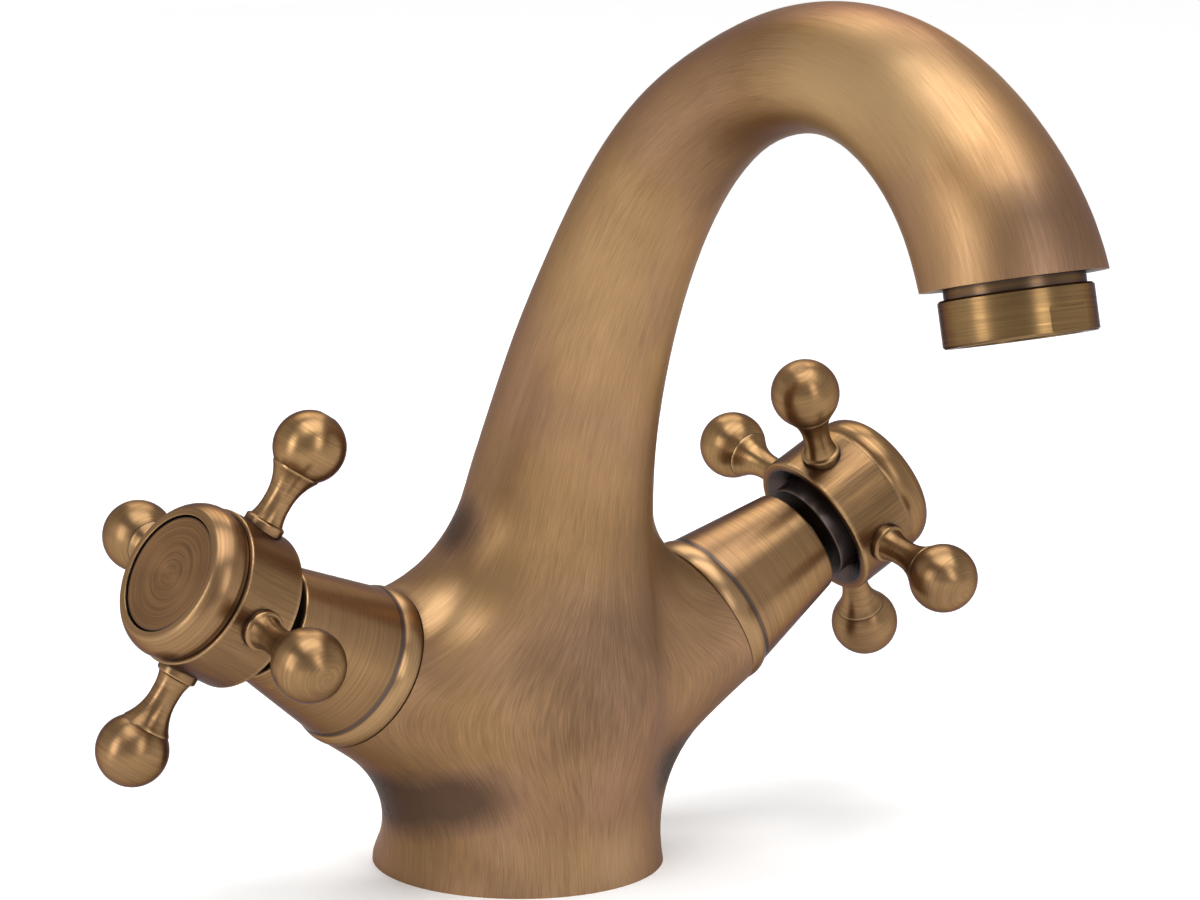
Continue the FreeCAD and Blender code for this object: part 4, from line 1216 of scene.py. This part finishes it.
@dataclass(frozen=True)
class RecessShade:
    """How hidden each point of the tap is: there the finish paints shade, and the dark patina that the
    brushing can't reach.
    """

    reach: float = 9.0
    rays: int = 16
    lift: float = 0.05

    def directions(self) -> list:
        """Spread directions over a half sphere about +Z, weighted to its top.

        Returns:
            The directions, each of length 1.
        """
        golden = math.pi * (3 - math.sqrt(5))
        spread = []
        for number in range(self.rays):
            height = math.sqrt(1 - (number + 0.5) / self.rays)
            flat = math.sqrt(1 - height * height)
            turned = golden * number
            spread.append(Vector((flat * math.cos(turned), flat * math.sin(turned), height)))
        return spread

    def mark(self, pieces: Sequence[Piece]) -> None:
        """Keep on each point how much of the space around it is walled in.

        Args:
            pieces: the pieces that are marked, which also wall each other in.
        """
        corners, faces = [], []
        for piece in pieces:
            start = len(corners)
            corners.extend(point.co.copy() for point in piece.data.vertices)
            faces.extend([start + index for index in polygon.vertices] for polygon in piece.data.polygons)
        walls = BVHTree.FromPolygons(corners, faces)
        spread = self.directions()
        for piece in pieces:
            shade_and_patina = piece.data.attributes.new("shade_and_patina", "FLOAT", "POINT")
            shares = [self.hidden(walls, point, spread) for point in piece.data.vertices]
            shade_and_patina.data.foreach_set("value", shares)

    def hidden(self, walls: BVHTree, point: bpy.types.MeshVertex, spread: Sequence[Vector]) -> float:
        """Measure how many rays from a point meet a wall nearby.

        Args:
            walls: every piece's faces.
            point: the point.
            spread: the rays' directions about +Z.

        Returns:
            The share from 0 to 1, nearer walls counting for more.
        """
        facing = point.normal
        turned = facing.to_track_quat("Z", "Y")
        start = point.co + facing * self.lift * MM
        total = 0.0
        for direction in spread:
            distance = walls.ray_cast(start, turned @ direction, self.reach * MM)[3]
            if distance is not None:
                total += 1.0 - distance / (self.reach * MM)
        return total / len(spread)


def dress_working_parts(nodes: dict, materials: dict) -> None:
    """Give every CAD node its own kind of finish, also where a finer piece stands for it.

    Args:
        nodes: the CAD nodes by name.
        materials: the materials by slot.
    """
    for name, node in sorted(nodes.items()):
        slot = node.material_slots[0].name
        finish = next(kind for kind in materials if slot.startswith(kind))
        node.material_slots[0].material = materials[finish]
        LOG.info("dressed %s in %s", name, finish)


# ---- studio

@dataclass(frozen=True)
class Viewpoint:
    """Where the camera stands and what it aims at, how far that is off centre, and its lens."""

    azimuth: float = -36.06
    elevation: float = 10.988
    roll: float = 0.565
    aim_height: float = 86.4
    distance: float = 764.94
    across: float = 14.095
    down: float = 10.966
    lens: float = 129.05
    sensor: float = 36.0
    nearest: float = 50.0
    farthest: float = 10000.0

    def place(self) -> None:
        """Add the camera and make it the scene's own."""
        back = towards(self.azimuth, self.elevation)
        level = towards(self.azimuth + 90.0, 0.0)
        upright = back.cross(level)
        roll = math.radians(self.roll)
        right = level * math.cos(roll) + upright * math.sin(roll)
        top = upright * math.cos(roll) - level * math.sin(roll)
        lens = bpy.data.cameras.new("camera")
        lens.lens, lens.sensor_width = self.lens, self.sensor
        lens.clip_start, lens.clip_end = self.nearest * MM, self.farthest * MM
        camera = bpy.data.objects.new("camera", lens)
        stand = Vector((0, 0, self.aim_height)) + back * self.distance + right * self.across - top * self.down
        turned = Matrix((right, top, back)).transposed().to_4x4()
        camera.matrix_world = Matrix.Translation(stand * MM) @ turned
        bpy.context.scene.collection.objects.link(camera)
        bpy.context.scene.camera = camera


@dataclass(frozen=True)
class Softbox:
    """A large soft lamp: where it stands round the tap, its size, and its power in watts."""

    name: str
    azimuth: float
    elevation: float
    width: float
    height: float
    power: float
    distance: float = 800.0

    def place(self, aim: Vector) -> None:
        """Add the lamp, turned to the point that it lights.

        Args:
            aim: the point in metres.
        """
        back = towards(self.azimuth, self.elevation)
        lamp = bpy.data.lights.new(self.name, "AREA")
        lamp.shape = "RECTANGLE"
        lamp.size, lamp.size_y = self.width * MM, self.height * MM
        lamp.energy = self.power
        stand = bpy.data.objects.new(self.name, lamp)
        turned = back.to_track_quat("Z", "Y").to_matrix().to_4x4()
        stand.matrix_world = Matrix.Translation(aim + back * self.distance * MM) @ turned
        bpy.context.scene.collection.objects.link(stand)


@dataclass(frozen=True)
class Studio:
    """A white table in a white room, with soft lamps round it.

    To the camera the room is white. The metal sees it dimmer overhead and on the camera's side.
    """

    softboxes: tuple = (
        Softbox("top_softbox", -20.0, 78.0, 800.0, 600.0, 6.2),
        Softbox("left_softbox", -92.0, 14.0, 250.0, 500.0, 2.0),
        Softbox("front_softbox", -5.0, 24.0, 220.0, 500.0, 1.6),
        Softbox("back_softbox", 150.0, 52.0, 600.0, 400.0, 2.8),
    )
    aim: tuple = (0.0, -30.0, 80.0)
    room: float = 0.25
    ceiling: Ramp = Ramp(0.2, 0.9, 1.0, 0.35)
    near_side: Ramp = Ramp(0.1, 0.9, 1.0, 0.55)
    near_azimuth: float = -36.0
    floor_size: float = 3000.0
    floor_glow: float = 0.16
    glow_start: float = 100.0
    glow_end: float = 1300.0
    paper: tuple = (Tone(0.93, 0.93, 0.93), Tone(0.97, 0.97, 0.97))
    paper_scale: float = 60.0
    paper_roughness: float = 0.9

    def build(self) -> None:
        """Light the tap and lay the floor."""
        for softbox in self.softboxes:
            softbox.place(Vector(self.aim) * MM)
        self.walls()
        self.floor()

    def walls(self) -> None:
        """Make the room white to the camera and to the metal, and dimmer where it only lights."""
        world = bpy.data.worlds.new("room")
        bpy.context.scene.world = world
        world.use_nodes = True
        bench = NodeBench(world.node_tree)
        background = bench.tree.nodes["Background"]
        bench.hold(background, {"Color": (1, 1, 1, 1)})
        direction = bench.add("ShaderNodeTexCoord").outputs["Generated"]
        height = bench.add("ShaderNodeSeparateXYZ")
        bench.join(direction, height.inputs[0])
        near = bench.add("ShaderNodeVectorMath", operation="DOT_PRODUCT")
        bench.join(direction, near.inputs[0])
        near.inputs[1].default_value = towards(self.near_azimuth, 0.0)
        camera = bench.add("ShaderNodeLightPath").outputs["Is Camera Ray"]
        near_side = bench.sums("MAXIMUM", bench.ramp(near.outputs["Value"], self.near_side), camera)
        mirrored = bench.sums("MULTIPLY", bench.ramp(height.outputs["Z"], self.ceiling), near_side)
        strength = bench.ramp(bench.seen_rays(), Ramp(to_low=self.room))
        bench.join(mirrored, strength.node.inputs["To Max"])
        bench.join(strength, background.inputs["Strength"])

    def floor(self) -> None:
        """Lay a white floor that keeps the tap's shadow, and glows white farther off."""
        shell = bmesh.new()
        bmesh.ops.create_grid(shell, x_segments=2, y_segments=2, size=self.floor_size * MM / 2)
        floor = hand_over("floor", shell)
        shader = Shader("floor_white")
        colour = shader.blend(shader.noise(shader.place(), self.paper_scale), *self.paper)
        shader.feed("Base Color", colour)
        shader.feed("Emission Color", colour)
        shader.hold(shader.surface, {"Roughness": self.paper_roughness, "Specular IOR Level": 0.0})
        away = shader.add("ShaderNodeVectorMath", operation="LENGTH")
        shader.join(shader.place(), away.inputs[0])
        spread = Ramp(self.glow_start * MM, self.glow_end * MM, self.floor_glow, 1.0 - self.room)
        glow = shader.sums("MULTIPLY", shader.seen_rays(), shader.ramp(away.outputs["Value"], spread))
        shader.feed("Emission Strength", glow)
        floor.data.materials.append(shader.material)


FIRST_SPOKES = {Side.LEFT: 12.2, Side.RIGHT: -17.9}


def main() -> None:
    """Build every sub-assembly in order and dress it, then light the studio."""
    logging.basicConfig(level=logging.INFO, format="%(message)s")
    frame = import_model()
    bpy.context.scene.view_settings.view_transform = "Standard"
    nodes = frame["nodes"]
    materials = {finish.name: finish.make() for finish in FINISHES}
    Viewpoint().place()
    pieces = BodyCasting().build(nodes["tap_body"], materials)
    pieces += Aerator().build(nodes["aerator_housing"], materials)
    for side, first_spoke in FIRST_SPOKES.items():
        pieces += CrossHandle(side, first_spoke).build(materials)
        pieces += ValveSleeve(side).build(materials)
    # Occlusion that the finishes turn into painted shade and patina in the hollows.
    RecessShade().mark(pieces)
    dress_working_parts(nodes, materials)
    Studio().build()


if __name__ == "__main__":
    main()
